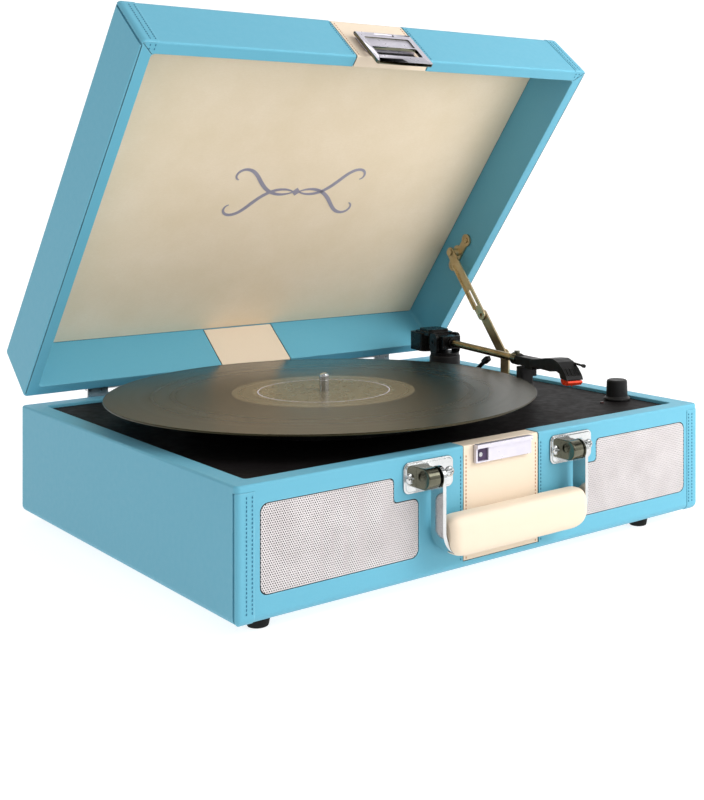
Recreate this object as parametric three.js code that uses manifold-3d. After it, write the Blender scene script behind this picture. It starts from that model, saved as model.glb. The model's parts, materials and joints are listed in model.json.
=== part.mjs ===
// Suitcase record player: a leatherette case with a hinged lid, a belt-driven turntable
// with a 12-inch record on it, a pivoted tonearm, two front speakers and a carrying handle.
// Millimetres. +X is to the right, +Y to the back, +Z up. The origin is the centre of the
// underside of the case. The lid stands open at its stay; the carrying handle hangs down.
import * as THREE from 'three';
import { mergeVertices } from 'three/addons/utils/BufferGeometryUtils.js';
import Module from 'manifold-3d';

const wasm = await Module();
wasm.setup();

// ---- driving dimensions ----
const CASE_W = 384;
const CASE_D = 312;
const BASE_H = 77;
const CORNER_R = 6;
const EDGE_R = 5;
const RIM_R = 1.5;
const INNER_CORNER_R = 3;
const INNER_CHAMFER = 1;
const RIM_T = 13.5;
const LEDGE_T = 16.5;
const FLOOR_T = 6;
const DECK_TOP = 74.5;
const DECK_T = 3;
const GAP = 0.3;
const FRONT = -CASE_D / 2;
const BACK = CASE_D / 2;

const LID_H = 48;
const LID_T = 9.5;
const LID_TOP_T = 3.5;
const LID_Z = BASE_H + 0.5;
const LID_OPEN_DEG = 51.5;
const PIN_Y = BACK + 4;
const PIN_Z = 84.2;
const LINING_Z = 120.2;
const LINING_T = 1.4;

const BAND_W = 63;
const BAND_T = 0.9;
const BAND_SINK = 0.3;
const GROOVE = BAND_SINK + BAND_T + GAP;
// How far in from each face the middle of a quarter round lies, as a share of its radius.
const ARC_SHARE = 1 - Math.SQRT1_2;

const RECORD_R = 150.8;
const RECORD_TOP = 92.5;
const RECORD_T = 1.5;
const MAT_T = 1;
const RECORD_X = -37.5;
const RECORD_Y = -8.4;
const PLATTER_R = 95;
const MAT_R = 94;
const BELT_RING_R = 62;
const BELT_CLEARANCE = 0.8;
const BELT_T = 1;
const PULLEY_R = 6;
const PULLEY_FROM_CENTRE = 82;
const PULLEY_X = RECORD_X - PULLEY_FROM_CENTRE * Math.SQRT1_2;
const PULLEY_Y = RECORD_Y + PULLEY_FROM_CENTRE * Math.SQRT1_2;
const SPINDLE_R = 3.5;
const SPINDLE_TOP = 105;

const ARM_X = 145.5;
const ARM_Y = 82;
const ARM_Z = 102;
const ARM_REST_DEG = 10;
const HEAD_BEND_DEG = 6.8;
const HEAD_T = 148;
const HEAD_HALF = 6.5;
const LIFT_AT = [6, 108.4];

const KNOB_X = 166.7;
const KNOB_Y = -99.2;
const LED_X = 147.9;
const LED_Y = -101.6;

const STAY_DECK = { y: 40, z: 92 };
const STAY_LID = { y: 108, z: 175.5 };
const STAY_LOWER = 41;

const HINGE_X = 116;
const HINGE_W = 50;
const KNUCKLE_R = 3.2;
const HINGE_PIN_R = 1.5;

const GRILLE = { outer: 176.5, inner: 67.5, low: 15, high: 65, notchX: 86, notchZ: 50 };
const SPEAKER_X = 124;
const SPEAKER_Z = 40;
const SPEAKER_R = 26;

const BRACKET_X = [-60.5, 60.5];
const HANDLE_Y = -165.5;
const HANDLE_Z = 63.5;
const HANDLE_LOW = 15.5;
const STRAP_T = 2.5;
const STRAP_W = 12;
const STRAP_BEND = 16;
const EYE_R = 7;

const HASP_W = 48;
const HASP_LOW = 64.5;
const HASP_HIGH = 103.5;
const HASP_PIVOT = { y: -160.3, z: 100.5 };
const HASP_WINDOW = { border: 5, low: 78, high: 88 };
const HASP_CORE = 8;

const FEET = {
  foot_front_left: [-170, -142],
  foot_front_right: [143, -142],
  foot_rear_left: [-170, 142],
  foot_rear_right: [143, 142],
};

// ---- materials ----
const paint = (color, roughness, metalness) =>
  new THREE.MeshStandardMaterial({ color, roughness, metalness });
const BLUE = () => paint(0x6bbad2, 0.6, 0);
const CREAM = () => paint(0xf6e6cf, 0.65, 0);
const CHROME = () => paint(0xd8dadb, 0.15, 1);
const BRASS = () => paint(0xa8905f, 0.35, 1);
const BLACK = () => paint(0x1c1c1c, 0.5, 0);
const GREY = () => paint(0x4a4a4a, 0.55, 0);
const RUBBER = () => paint(0x141414, 0.85, 0);
const STEEL = () => paint(0x9a9c9e, 0.35, 1);

// ---- solids ----
function solid(geometry) {
  const bare = geometry.clone();
  for (const name of Object.keys(bare.attributes)) {
    if (name !== 'position') bare.deleteAttribute(name);
  }
  const merged = mergeVertices(bare, 1e-4);
  const vertProperties = new Float32Array(merged.attributes.position.array);
  const triVerts = new Uint32Array(merged.index.array);
  return new wasm.Manifold(new wasm.Mesh({ numProp: 3, vertProperties, triVerts }));
}

function geometryOf(body) {
  const { vertProperties, triVerts } = body.getMesh();
  const geometry = new THREE.BufferGeometry();
  geometry.setAttribute('position', new THREE.BufferAttribute(vertProperties, 3));
  geometry.setIndex(new THREE.BufferAttribute(triVerts, 1));
  geometry.computeVertexNormals();
  return geometry;
}

function named(name, body, material) {
  const geometry = body.isBufferGeometry ? body : geometryOf(body);
  const mesh = new THREE.Mesh(geometry, material);
  mesh.name = name;
  return mesh;
}

function join(first, ...others) {
  return others.reduce((sum, other) => sum.add(other), first);
}

function cut(first, ...others) {
  return others.reduce((rest, other) => rest.subtract(other), first);
}

function block(x0, x1, y0, y1, z0, z1) {
  const geometry = new THREE.BoxGeometry(x1 - x0, y1 - y0, z1 - z0);
  geometry.translate((x0 + x1) / 2, (y0 + y1) / 2, (z0 + z1) / 2);
  return solid(geometry);
}

// A rod between two values along an axis, centred on the other two coordinates.
function rod(axis, centre, radius, low, high, sides = 14) {
  const geometry = new THREE.CylinderGeometry(radius, radius, high - low, sides);
  const middle = (low + high) / 2;
  if (axis === 'x') {
    geometry.rotateZ(-Math.PI / 2);
    geometry.translate(middle, centre[0], centre[1]);
  } else if (axis === 'y') {
    geometry.translate(centre[0], middle, centre[1]);
  } else {
    geometry.rotateX(Math.PI / 2);
    geometry.translate(centre[0], centre[1], middle);
  }
  return solid(geometry);
}

// A flat outline pushed from low to high along an axis. Along x the outline is (y, z),
// along y it is (x, z), along z it is (x, y).
function push(axis, shape, low, high, steps = 3) {
  const geometry = new THREE.ExtrudeGeometry(shape, {
    depth: high - low,
    bevelEnabled: false,
    curveSegments: steps,
  });
  if (axis === 'x') {
    geometry.rotateX(Math.PI / 2);
    geometry.rotateZ(Math.PI / 2);
    geometry.translate(low, 0, 0);
  } else if (axis === 'y') {
    geometry.rotateX(Math.PI / 2);
    geometry.translate(0, high, 0);
  } else {
    geometry.translate(0, 0, low);
  }
  return solid(geometry);
}

// A turned piece about the vertical line through (x, y); the profile is (radius, z).
function turned(profile, x, y, sides) {
  const points = profile.map(([radius, z]) => new THREE.Vector2(radius, z));
  const geometry = new THREE.LatheGeometry(points, sides);
  geometry.rotateX(Math.PI / 2);
  geometry.translate(x, y, 0);
  return facingOut(geometry);
}

function facingOut(geometry) {
  const body = solid(geometry);
  if (body.volume() > 0) return body;
  const index = geometry.index.array;
  for (let i = 0; i < index.length; i += 3) {
    const swap = index[i];
    index[i] = index[i + 1];
    index[i + 1] = swap;
  }
  return solid(geometry);
}

function roundedRect(w, h, r, cx = 0, cy = 0) {
  const shape = new THREE.Shape();
  const x = w / 2 - r;
  const y = h / 2 - r;
  shape.moveTo(cx + w / 2, cy - y);
  shape.absarc(cx + x, cy + y, r, 0, Math.PI / 2);
  shape.absarc(cx - x, cy + y, r, Math.PI / 2, Math.PI);
  shape.absarc(cx - x, cy - y, r, Math.PI, 1.5 * Math.PI);
  shape.absarc(cx + x, cy - y, r, 1.5 * Math.PI, 2 * Math.PI);
  return shape;
}

function polygon(points) {
  return new THREE.Shape(points.map(([x, y]) => new THREE.Vector2(x, y)));
}

// One level of a rounded box: half sizes, corner radius and height.
function ring(inset, z, corner) {
  return { x: CASE_W / 2 - inset, y: CASE_D / 2 - inset, r: Math.max(corner, 0.5), z };
}

// A solid whose skin runs through a list of rings and is capped at the first and the last.
function skinned(rings, steps = 5) {
  const positions = [];
  const index = [];
  const perRing = 4 * (steps + 1);
  for (const { x, y, r, z } of rings) {
    for (let corner = 0; corner < 4; corner++) {
      const sx = corner === 0 || corner === 3 ? 1 : -1;
      const sy = corner < 2 ? 1 : -1;
      for (let i = 0; i <= steps; i++) {
        const a = (corner + i / steps) * (Math.PI / 2);
        positions.push(sx * (x - r) + r * Math.cos(a), sy * (y - r) + r * Math.sin(a), z);
      }
    }
  }
  for (let level = 0; level < rings.length - 1; level++) {
    for (let i = 0; i < perRing; i++) {
      const a = level * perRing + i;
      const b = level * perRing + ((i + 1) % perRing);
      index.push(a, b, b + perRing, a, b + perRing, a + perRing);
    }
  }
  const last = (rings.length - 1) * perRing;
  for (let i = 1; i < perRing - 1; i++) {
    index.push(0, i + 1, i, last, last + i, last + i + 1);
  }
  const geometry = new THREE.BufferGeometry();
  geometry.setAttribute('position', new THREE.Float32BufferAttribute(positions, 3));
  geometry.setIndex(index);
  return facingOut(geometry);
}

// Rings that turn an edge: from the flat face at flatZ to the side at inset 0.
function edgeRings(radius, flatZ, towards, steps = 3) {
  const rings = [];
  for (let i = 0; i <= steps; i++) {
    const a = (i / steps) * (Math.PI / 2);
    const inset = radius * (1 - Math.sin(a));
    const z = flatZ + towards * radius * (1 - Math.cos(a));
    rings.push(ring(inset, z, CORNER_R - inset));
  }
  return rings;
}

// ---- the case ----
const grilleOutline = (side, grow) => {
  const { outer, inner, low, high, notchX, notchZ } = GRILLE;
  const x = (value) => side * value;
  return polygon([
    [x(outer + grow), low - grow],
    [x(outer + grow), high + grow],
    [x(notchX - grow), high + grow],
    [x(notchX - grow), notchZ + grow],
    [x(inner - grow), notchZ + grow],
    [x(inner - grow), low - grow],
  ]);
};

function baseShell() {
  const rings = [
    ...edgeRings(EDGE_R, 0, 1),
    ring(0, BASE_H - RIM_R, CORNER_R),
    ring(RIM_R * ARC_SHARE, BASE_H - RIM_R * ARC_SHARE, CORNER_R),
    ring(RIM_R, BASE_H, CORNER_R - 1),
    ring(RIM_T - INNER_CHAMFER, BASE_H, INNER_CORNER_R),
    ring(RIM_T, BASE_H - INNER_CHAMFER, INNER_CORNER_R),
    ring(RIM_T, DECK_TOP - DECK_T - GAP, INNER_CORNER_R),
    ring(LEDGE_T, DECK_TOP - DECK_T - GAP, INNER_CORNER_R),
    ring(LEDGE_T, FLOOR_T, INNER_CORNER_R),
  ];
  return skinned(rings);
}

// The course of the base's cream band: up a wall's face, over its rim and down inside. The
// channel it lies in follows the same course, and the band stops short of it by end.
function bandPath(depth, sink, sign, end) {
  const low = EDGE_R + end;
  const face = BACK - sink;
  const inner = BACK - RIM_T + sink;
  const top = BASE_H - sink;
  const floor = DECK_TOP + GAP + end;
  const points = [
    [face, low],
    [face, top],
    [inner, top],
    [inner, floor],
    [inner + depth, floor],
    [inner + depth, top - depth],
    [face - depth, top - depth],
    [face - depth, low],
  ];
  return polygon(points.map(([y, z]) => [sign * y, z]));
}

function baseBand(sign) {
  return push('x', bandPath(BAND_T, BAND_SINK, sign, GAP), -BAND_W / 2, BAND_W / 2);
}

function baseBandChannel(sign) {
  const half = BAND_W / 2 + GAP;
  return push('x', bandPath(GROOVE + 2, -2, sign, 0), -half, half);
}

const COVER_W = 300;
const COVER_D = 232;
const COVER_T = 2.4;
const JACK = { x: 95, z: 42, w: 76, h: 26 };

function baseCase() {
  let body = baseShell();
  for (const sign of [-1, 1]) {
    body = cut(body, baseBandChannel(sign));
  }
  for (const side of [-1, 1]) {
    const recess = push('y', grilleOutline(side, GAP), FRONT - 1, FRONT + 1.6);
    const mouth = rod('y', [side * SPEAKER_X, SPEAKER_Z], SPEAKER_R - 4, FRONT - 1, FRONT + 20, 20);
    body = cut(body, recess, mouth);
  }
  const coverSeat = push('z', roundedRect(COVER_W + 2 * GAP, COVER_D + 2 * GAP, 6), -1, COVER_T + GAP);
  const coverHole = push('z', roundedRect(COVER_W - 12, COVER_D - 12, 4), -1, FLOOR_T + 1);
  const jackHole = block(
    JACK.x - JACK.w / 2 - GAP, JACK.x + JACK.w / 2 + GAP,
    BACK - LEDGE_T - 1, BACK + 1,
    JACK.z - JACK.h / 2 - GAP, JACK.z + JACK.h / 2 + GAP,
  );
  return cut(body, coverSeat, coverHole, jackHole);
}

function deckPlate() {
  const w = CASE_W - 2 * (RIM_T + GAP);
  const d = CASE_D - 2 * (RIM_T + GAP);
  const plate = push('z', roundedRect(w, d, 2.6), DECK_TOP - DECK_T, DECK_TOP, 3);
  const hole = (x, y, r) => rod('z', [x, y], r, DECK_TOP - DECK_T - 1, DECK_TOP + 1, 20);
  return cut(
    plate,
    hole(RECORD_X, RECORD_Y, 6.3),
    hole(PULLEY_X, PULLEY_Y, 4),
    hole(ARM_X, ARM_Y, 5.3),
    hole(KNOB_X, KNOB_Y, 4),
    hole(LED_X, LED_Y, 1.8),
  );
}

const FOOT_H = 6.5;
const FOOT_R = 7.2;

function foot([x, y]) {
  const profile = [
    [0, -FOOT_H], [FOOT_R - 1.8, -FOOT_H], [FOOT_R - 1, 0.9 - FOOT_H], [FOOT_R, -GAP], [0, -GAP],
  ];
  return turned(profile, x, y, 20);
}

function speaker(side) {
  const profile = [
    [0, 9], [7, 9], [SPEAKER_R - 5, 1.2], [SPEAKER_R - 3, 0], [SPEAKER_R, 0],
    [SPEAKER_R, 2], [SPEAKER_R - 4, 3], [15, 15], [18, 15], [18, 25], [0, 25],
  ];
  const points = profile.map(([radius, depth]) => new THREE.Vector2(radius, depth));
  const geometry = new THREE.LatheGeometry(points, 20);
  geometry.translate(side * SPEAKER_X, FRONT + LEDGE_T + GAP, SPEAKER_Z);
  return facingOut(geometry);
}

const CATCH = { half: 23.5, low: 65, high: 76.6, t: 2.4, lipT: 1.6, lipH: 2.6 };

function latchCatch() {
  const { half, low, high, t, lipT, lipH } = CATCH;
  const plate = block(-half, half, FRONT - t, FRONT, low, high);
  const lip = block(-half, half, FRONT - t - lipT, FRONT - t, high - lipH, high);
  const windowX = 3.5 - half;
  const window = block(windowX, windowX + 5, FRONT - 5, FRONT - 1, low + 1.5, low + 7.5);
  return cut(join(plate, lip.translate(0, 0.001, 0)), window);
}

// ---- carrying handle ----
const PLATE_OFFSET = 0.5;
const PLATE = { w: 38, h: 19, r: 4, t: 1.8 };
const PLATE_SCREW_X = 15.3;
const HUMP_R = 8;
const HANDLE_PIN_R = 2.5;

function handleBracket(x) {
  const plateX = x + PLATE_OFFSET;
  const sheet = roundedRect(PLATE.w, PLATE.h, PLATE.r, plateX, HANDLE_Z);
  const plate = push('y', sheet, FRONT - PLATE.t, FRONT - GAP, 4);
  const humpShape = new THREE.Shape();
  humpShape.moveTo(FRONT - 1.5, HANDLE_Z + HUMP_R);
  humpShape.lineTo(HANDLE_Y + 1, HANDLE_Z + HUMP_R);
  humpShape.absarc(HANDLE_Y + 1, HANDLE_Z, HUMP_R, Math.PI / 2, 1.5 * Math.PI);
  humpShape.lineTo(FRONT - 1.5, HANDLE_Z - HUMP_R);
  const hump = push('x', humpShape, x - 11, x - 1, 5);
  const pin = rod('x', [HANDLE_Y, HANDLE_Z], HANDLE_PIN_R, x - 2, x + 3);
  const head = rod('x', [HANDLE_Y, HANDLE_Z], 4.2, x + 2.9, x + 4.2);
  return join(plate, hump, pin, head);
}

function screw(x, z) {
  const y = FRONT - PLATE.t - GAP;
  const headT = 1.5;
  const slotL = 1.8;
  const slotW = 0.35;
  const head = new THREE.CylinderGeometry(3.2, 2.6, headT, 12);
  head.translate(x, y - headT / 2, z);
  const slotA = block(x - slotL, x + slotL, y - 2, y - 0.8, z - slotW, z + slotW);
  const slotB = block(x - slotW, x + slotW, y - 2, y - 0.8, z - slotL, z + slotL);
  return cut(solid(head), slotA, slotB);
}

// The U of flat steel, seen from the front, grown on every side by a margin.
function strapOutline(grow) {
  const outer = STRAP_BEND + grow;
  const inner = STRAP_BEND - STRAP_T - grow;
  const left = BRACKET_X[0] - grow;
  const right = BRACKET_X[1] + 2 + grow;
  const low = HANDLE_LOW - grow;
  const high = HANDLE_Z;
  const wall = STRAP_T + 2 * grow;
  const shape = new THREE.Shape();
  shape.moveTo(left, high);
  shape.lineTo(left, low + outer);
  shape.absarc(left + outer, low + outer, outer, Math.PI, 1.5 * Math.PI);
  shape.lineTo(right - outer, low);
  shape.absarc(right - outer, low + outer, outer, 1.5 * Math.PI, 2 * Math.PI);
  shape.lineTo(right, high);
  shape.lineTo(right - wall, high);
  shape.lineTo(right - wall, low + wall + inner);
  shape.absarc(right - wall - inner, low + wall + inner, inner, 0, -Math.PI / 2, true);
  shape.lineTo(left + wall + inner, low + wall);
  shape.absarc(left + wall + inner, low + wall + inner, inner, 1.5 * Math.PI, Math.PI, true);
  shape.lineTo(left + wall, high);
  return shape;
}

function handleStrap() {
  const half = STRAP_W / 2;
  let body = push('y', strapOutline(0), HANDLE_Y - half, HANDLE_Y + half, 4);
  const left = BRACKET_X[0];
  const right = BRACKET_X[1] + 2;
  const eyes = [[left, left + STRAP_T], [right - STRAP_T, right]];
  for (const [low, high] of eyes) {
    body = join(body, rod('x', [HANDLE_Y, HANDLE_Z], EYE_R, low, high, 20));
  }
  for (const [low, high] of eyes) {
    body = cut(body, rod('x', [HANDLE_Y, HANDLE_Z], HANDLE_PIN_R + GAP, low - 1, high + 1));
  }
  return body;
}

function handleGrip() {
  const left = BRACKET_X[0] + 4.5;
  const right = BRACKET_X[1] - 1;
  const low = HANDLE_LOW - 1.5;
  const high = 40;
  const bevel = 6;
  const bend = 8;
  const depth = 7;
  const outline = new THREE.Shape();
  const x0 = left + bevel;
  const x1 = right - bevel;
  const z0 = low + bevel;
  const z1 = high - bevel;
  outline.moveTo(x0, z1);
  outline.lineTo(x0, z0 + bend);
  outline.absarc(x0 + bend, z0 + bend, bend, Math.PI, 1.5 * Math.PI);
  outline.lineTo(x1 - bend, z0);
  outline.absarc(x1 - bend, z0 + bend, bend, 1.5 * Math.PI, 2 * Math.PI);
  outline.lineTo(x1, z1);
  const geometry = new THREE.ExtrudeGeometry(outline, {
    depth,
    bevelThickness: bevel,
    bevelSize: bevel,
    bevelSegments: 3,
    curveSegments: 2,
  });
  geometry.rotateX(Math.PI / 2);
  geometry.translate(0, HANDLE_Y - 2 + depth / 2, 0);
  const half = STRAP_W / 2 + GAP;
  const tunnel = push('y', strapOutline(GAP), HANDLE_Y - half, HANDLE_Y + half, 4);
  return cut(facingOut(geometry), tunnel);
}

// ---- hinges ----
function knuckle(x0, x1) {
  return rod('x', [PIN_Y, PIN_Z], KNUCKLE_R, x0, x1);
}

function pinBore(x) {
  return rod('x', [PIN_Y, PIN_Z], HINGE_PIN_R + 0.2, x - HINGE_W, x + HINGE_W, 12);
}

const LEAF = { y0: BACK + GAP, y1: BACK + 1.8, low: 52, baseTop: 79, lidLow: 89.5, high: 112 };
const KNUCKLE_HALF = 8.7;

function hingeBaseLeaf(x) {
  const half = HINGE_W / 2;
  const inner = KNUCKLE_HALF + GAP;
  let body = block(x - half, x + half, LEAF.y0, LEAF.y1, LEAF.low, LEAF.baseTop);
  for (const [x0, x1] of [[x - half, x - inner], [x + inner, x + half]]) {
    const web = block(x0, x1, LEAF.y0, LEAF.y1, LEAF.baseTop - 1, PIN_Z);
    body = join(body, web, knuckle(x0, x1));
  }
  return cut(body, pinBore(x));
}

function hingeLidLeaf(x) {
  const half = HINGE_W / 2;
  const x0 = x - KNUCKLE_HALF;
  const x1 = x + KNUCKLE_HALF;
  const plate = block(x - half, x + half, LEAF.y0, LEAF.y1, LEAF.lidLow, LEAF.high);
  const web = block(x0, x1, LEAF.y0, LEAF.y1, PIN_Z, LEAF.lidLow + 0.5);
  return cut(join(plate, web, knuckle(x0, x1)), pinBore(x));
}

function hingePin(x) {
  return rod('x', [PIN_Y, PIN_Z], HINGE_PIN_R, x - HINGE_W / 2 - 0.6, x + HINGE_W / 2 + 0.6, 12);
}

// ---- turntable ----
function platter() {
  const top = RECORD_TOP - RECORD_T - MAT_T - 0.4;
  const under = top - 2.6;
  const skirt = PLATTER_R - 2.5;
  const ringIn = BELT_RING_R - 3;
  const low = DECK_TOP + 2.2;
  return turned([
    [SPINDLE_R + 0.2, top], [PLATTER_R - 1, top], [PLATTER_R, top - 1], [PLATTER_R, low],
    [skirt, low], [skirt, under], [BELT_RING_R, under], [BELT_RING_R, low + 0.8],
    [ringIn, low + 0.8], [ringIn, under], [11, under], [11, low + 1], [SPINDLE_R + 0.2, low + 1],
    [SPINDLE_R + 0.2, top],
  ], RECORD_X, RECORD_Y, 36);
}

function slipmat() {
  const top = RECORD_TOP - RECORD_T - 0.2;
  const bore = SPINDLE_R + 0.3;
  const low = top - MAT_T;
  const profile = [[bore, low], [MAT_R, low], [MAT_R, top], [bore, top], [bore, low]];
  return turned(profile, RECORD_X, RECORD_Y, 36);
}

function vinylRecord() {
  const low = RECORD_TOP - RECORD_T;
  const mid = RECORD_TOP - RECORD_T / 2;
  const bore = SPINDLE_R + 0.15;
  return turned([
    [bore, low], [RECORD_R - 0.8, low], [RECORD_R, mid], [RECORD_R - 0.8, RECORD_TOP],
    [bore, RECORD_TOP], [bore, low],
  ], RECORD_X, RECORD_Y, 64);
}

function spindle() {
  const low = 58;
  return turned([
    [0, low], [SPINDLE_R, low], [SPINDLE_R, SPINDLE_TOP - 3],
    [SPINDLE_R * 0.75, SPINDLE_TOP - 0.9], [0, SPINDLE_TOP],
  ], RECORD_X, RECORD_Y, 14);
}

function platterBearing() {
  const bore = SPINDLE_R + 0.15;
  return turned([
    [bore, 60], [6, 60], [6, DECK_TOP + GAP], [9, DECK_TOP + GAP], [9, DECK_TOP + 1.4],
    [bore, DECK_TOP + 1.4], [bore, 60],
  ], RECORD_X, RECORD_Y, 14);
}

function motor() {
  const top = DECK_TOP - DECK_T - GAP;
  return turned([
    [0, top - 26], [15, top - 26], [16, top - 25], [16, top], [3.2, top], [3.2, top - 4], [0, top - 4],
  ], PULLEY_X, PULLEY_Y, 16);
}

function motorPulley() {
  const low = DECK_TOP - DECK_T - GAP - 3.5;
  return turned([
    [0, low], [1, low], [1, 77], [PULLEY_R + 1, 77], [PULLEY_R + 1, 78.2], [PULLEY_R, 79],
    [PULLEY_R, 84.6], [PULLEY_R + 0.8, 85.2], [PULLEY_R + 0.8, 86], [0, 86],
  ], PULLEY_X, PULLEY_Y, 14);
}

// The loop round the platter's belt ring and the pulley: two arcs and two straight runs.
function beltLoop(grow) {
  const big = BELT_RING_R + grow;
  const small = PULLEY_R + grow;
  const heading = Math.atan2(PULLEY_Y - RECORD_Y, PULLEY_X - RECORD_X);
  const lean = Math.acos((big - small) / PULLEY_FROM_CENTRE);
  const shape = new THREE.Shape();
  shape.absarc(RECORD_X, RECORD_Y, big, heading + lean, heading - lean + 2 * Math.PI, false);
  shape.absarc(PULLEY_X, PULLEY_Y, small, heading - lean, heading + lean, false);
  return shape;
}

function driveBelt() {
  const low = 79.4;
  const high = 84.2;
  const outer = push('z', beltLoop(BELT_CLEARANCE + BELT_T), low, high, 12);
  const inner = push('z', beltLoop(BELT_CLEARANCE), low - 1, high + 1, 12);
  return cut(outer, inner);
}

// ---- tonearm, drawn along its own axis: t forward, w towards the record, z up ----
// The arm's frame has its x along t, its y along -w and its z up.
function armGroup(...meshes) {
  const group = new THREE.Group();
  group.position.set(ARM_X, ARM_Y, 0);
  group.rotation.z = -((90 + ARM_REST_DEG) * Math.PI) / 180;
  group.add(...meshes);
  return group;
}

function armPedestal() {
  return turned([
    [0, 79], [3.3, 79], [3.3, 90.5], [12.2, 90.5], [13, 89.6], [13, 77.2], [15, 77],
    [15, DECK_TOP + GAP], [5, DECK_TOP + GAP], [5, 66], [0, 66],
  ], ARM_X, ARM_Y, 20);
}

function armYoke() {
  const disc = rod('z', [0, 0], 12.3, 90.9, 93, 20);
  const stem = rod('z', [0, 0], 3, 80, 91);
  let body = join(disc, stem);
  for (const side of [-1, 1]) {
    const y0 = side > 0 ? 9.3 : -11.6;
    const cheek = push('y', roundedRect(12, 17, 4, 0, 100.5), y0, y0 + 2.3);
    body = join(body, cheek);
  }
  return cut(body, rod('y', [0, ARM_Z], 1.8, -14, 14, 12));
}

function armBlock() {
  const middle = block(-20, 12, -8.4, 8.4, 96.6, 107.4);
  const weight = push('z', roundedRect(27, 28, 6, -27.5, 0), 92, 110);
  const trunnion = rod('y', [0, ARM_Z], 1.5, -11.4, 11.4, 12);
  const mouth = rod('x', [0, ARM_Z], 4.4, 11, 16);
  const bore = rod('x', [0, ARM_Z], 3.1, 4, 17);
  return cut(join(middle, weight, trunnion, mouth), bore);
}

function armTube() {
  return rod('x', [0, ARM_Z], 2.8, 5, 111.9);
}

// Turns a piece of the head, drawn from the head's own origin, to its place on the arm.
function headPiece(body) {
  return body.rotate(0, 0, -HEAD_BEND_DEG).translate(HEAD_T, 0, 0);
}

function headshell() {
  const neck = push('y', polygon([
    [115, 98.6], [132.6, 98.6], [133.4, 96.6], [143, 97], [144, 100.2], [150, 100.4],
    [150, 105.6], [132, 105.2], [115, 105],
  ]), -4, 4);
  const collar = rod('x', [0, ARM_Z], 4.7, 112.3, 119);
  const side = polygon([
    [-4, 100.2], [30, 101], [40, 102.6], [44.6, 101.6], [46, 98.6], [57, 98.2], [55.4, 101.2],
    [50, 105.6], [42, 109.6], [34, 111], [22, 109.8], [10, 107.4], [-4, 105.5],
  ]);
  const pocket = polygon([[47.2, 97], [47.2, 100.6], [52.6, 101.6], [54.8, 97]]);
  const shell = cut(push('y', side, -HEAD_HALF, HEAD_HALF), push('y', pocket, -4.9, 4.9));
  const lift = rod('x', LIFT_AT, 0.8, 35, 58, 10);
  const tip = rod('x', LIFT_AT, 1.3, 57, 59.5, 10);
  return join(neck, collar, headPiece(join(shell, lift, tip)));
}

function cartridge() {
  const body = polygon([[47.6, 98.9], [47.6, 100.2], [52.3, 101.1], [53.5, 98.9]]);
  return headPiece(push('y', body, -4.5, 4.5));
}

function stylus() {
  const holder = polygon([
    [45.5, 96.2], [45.8, 98.1], [56.6, 97.8], [57.6, 96.6], [54.5, 94.3], [48.5, 94.2],
  ]);
  const needle = polygon([[49.5, 94.4], [51.5, 94.4], [52.4, 93.1], [51.8, 93.1]]);
  return headPiece(join(push('y', holder, -5.6, 5.6), push('y', needle, -0.5, 0.5)));
}

function armRestPost() {
  const column = push('z', roundedRect(9, 11, 2, 127, 0), DECK_TOP + GAP, 97.4, 2);
  const flange = push('z', roundedRect(13, 14, 3, 127, 0), DECK_TOP + GAP, DECK_TOP + 2.3, 2);
  const guard = block(122.5, 131.5, 5.5, 8, 90, 104);
  const shelf = block(122.5, 131.5, 5, 6, 90, 97.4);
  return join(column, flange, shelf, guard);
}

const CUE = { t: 44, z: 79, slot: 2.6, riseDeg: 32 };

function cueBracket() {
  const body = block(CUE.t - 5, CUE.t + 5, -5, 5, DECK_TOP + GAP, 81.5);
  const slot = block(CUE.t - 6, CUE.t + 6, -CUE.slot, CUE.slot, CUE.z - 3, CUE.z + 3);
  return cut(body, slot, rod('y', [CUE.t, CUE.z], 1.5, -6, 6, 12));
}

function cueLever() {
  const hub = rod('y', [0, 0], 2.4, -2.2, 2.2);
  const axle = rod('y', [0, 0], 1.2, -4.8, 4.8, 12);
  const stick = rod('x', [0, 0], 1.3, 1, 32, 12);
  const pad = block(28, 34, -2.2, 2.2, -0.9, 0.9);
  const lever = join(hub, axle, stick, pad);
  return lever.rotate(0, -CUE.riseDeg, 0).translate(CUE.t, 0, CUE.z);
}

// ---- controls and electronics ----
function volumeKnob() {
  const low = DECK_TOP + 0.5;
  const profile = [
    [3.3, low], [10, low], [10, low + 1.4], [8.2, low + 2.4], [7.8, 88.6], [6.8, 89.9],
    [0, 89.9], [0, 85], [3.3, 85], [3.3, low],
  ];
  return turned(profile, KNOB_X, KNOB_Y, 32);
}

function volumeControl() {
  const top = DECK_TOP - DECK_T - GAP;
  const can = block(KNOB_X - 8, KNOB_X + 8, KNOB_Y - 9, KNOB_Y + 9, top - 8, top - 0.2);
  const bush = rod('z', [KNOB_X, KNOB_Y], 3.6, top - 1, DECK_TOP - 0.2);
  const shaft = rod('z', [KNOB_X, KNOB_Y], 3, DECK_TOP - 1, 84.6);
  return join(can, bush, shaft);
}

function powerLed() {
  return turned([
    [0, 70], [1.5, 70], [1.5, DECK_TOP + 0.3], [1.1, DECK_TOP + 0.9], [0, DECK_TOP + 1.1],
  ], LED_X, LED_Y, 12);
}

function circuitBoard() {
  const top = 15.6;
  let board = block(50, 120, -95, -45, 14, top);
  const parts = [[59, -80, 16, 10, 14], [85, -66, 12, 12, 9], [105, -60, 10, 18, 12]];
  for (const [x, y, w, d, h] of parts) {
    board = join(board, block(x, x + w, y - d, y, top - 0.1, top + h));
  }
  for (const [x, y] of [[54, -91], [116, -91], [54, -49], [116, -49]]) {
    board = join(board, rod('z', [x, y], 2.5, COVER_T + GAP, 14.1, 10));
  }
  return board;
}

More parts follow.
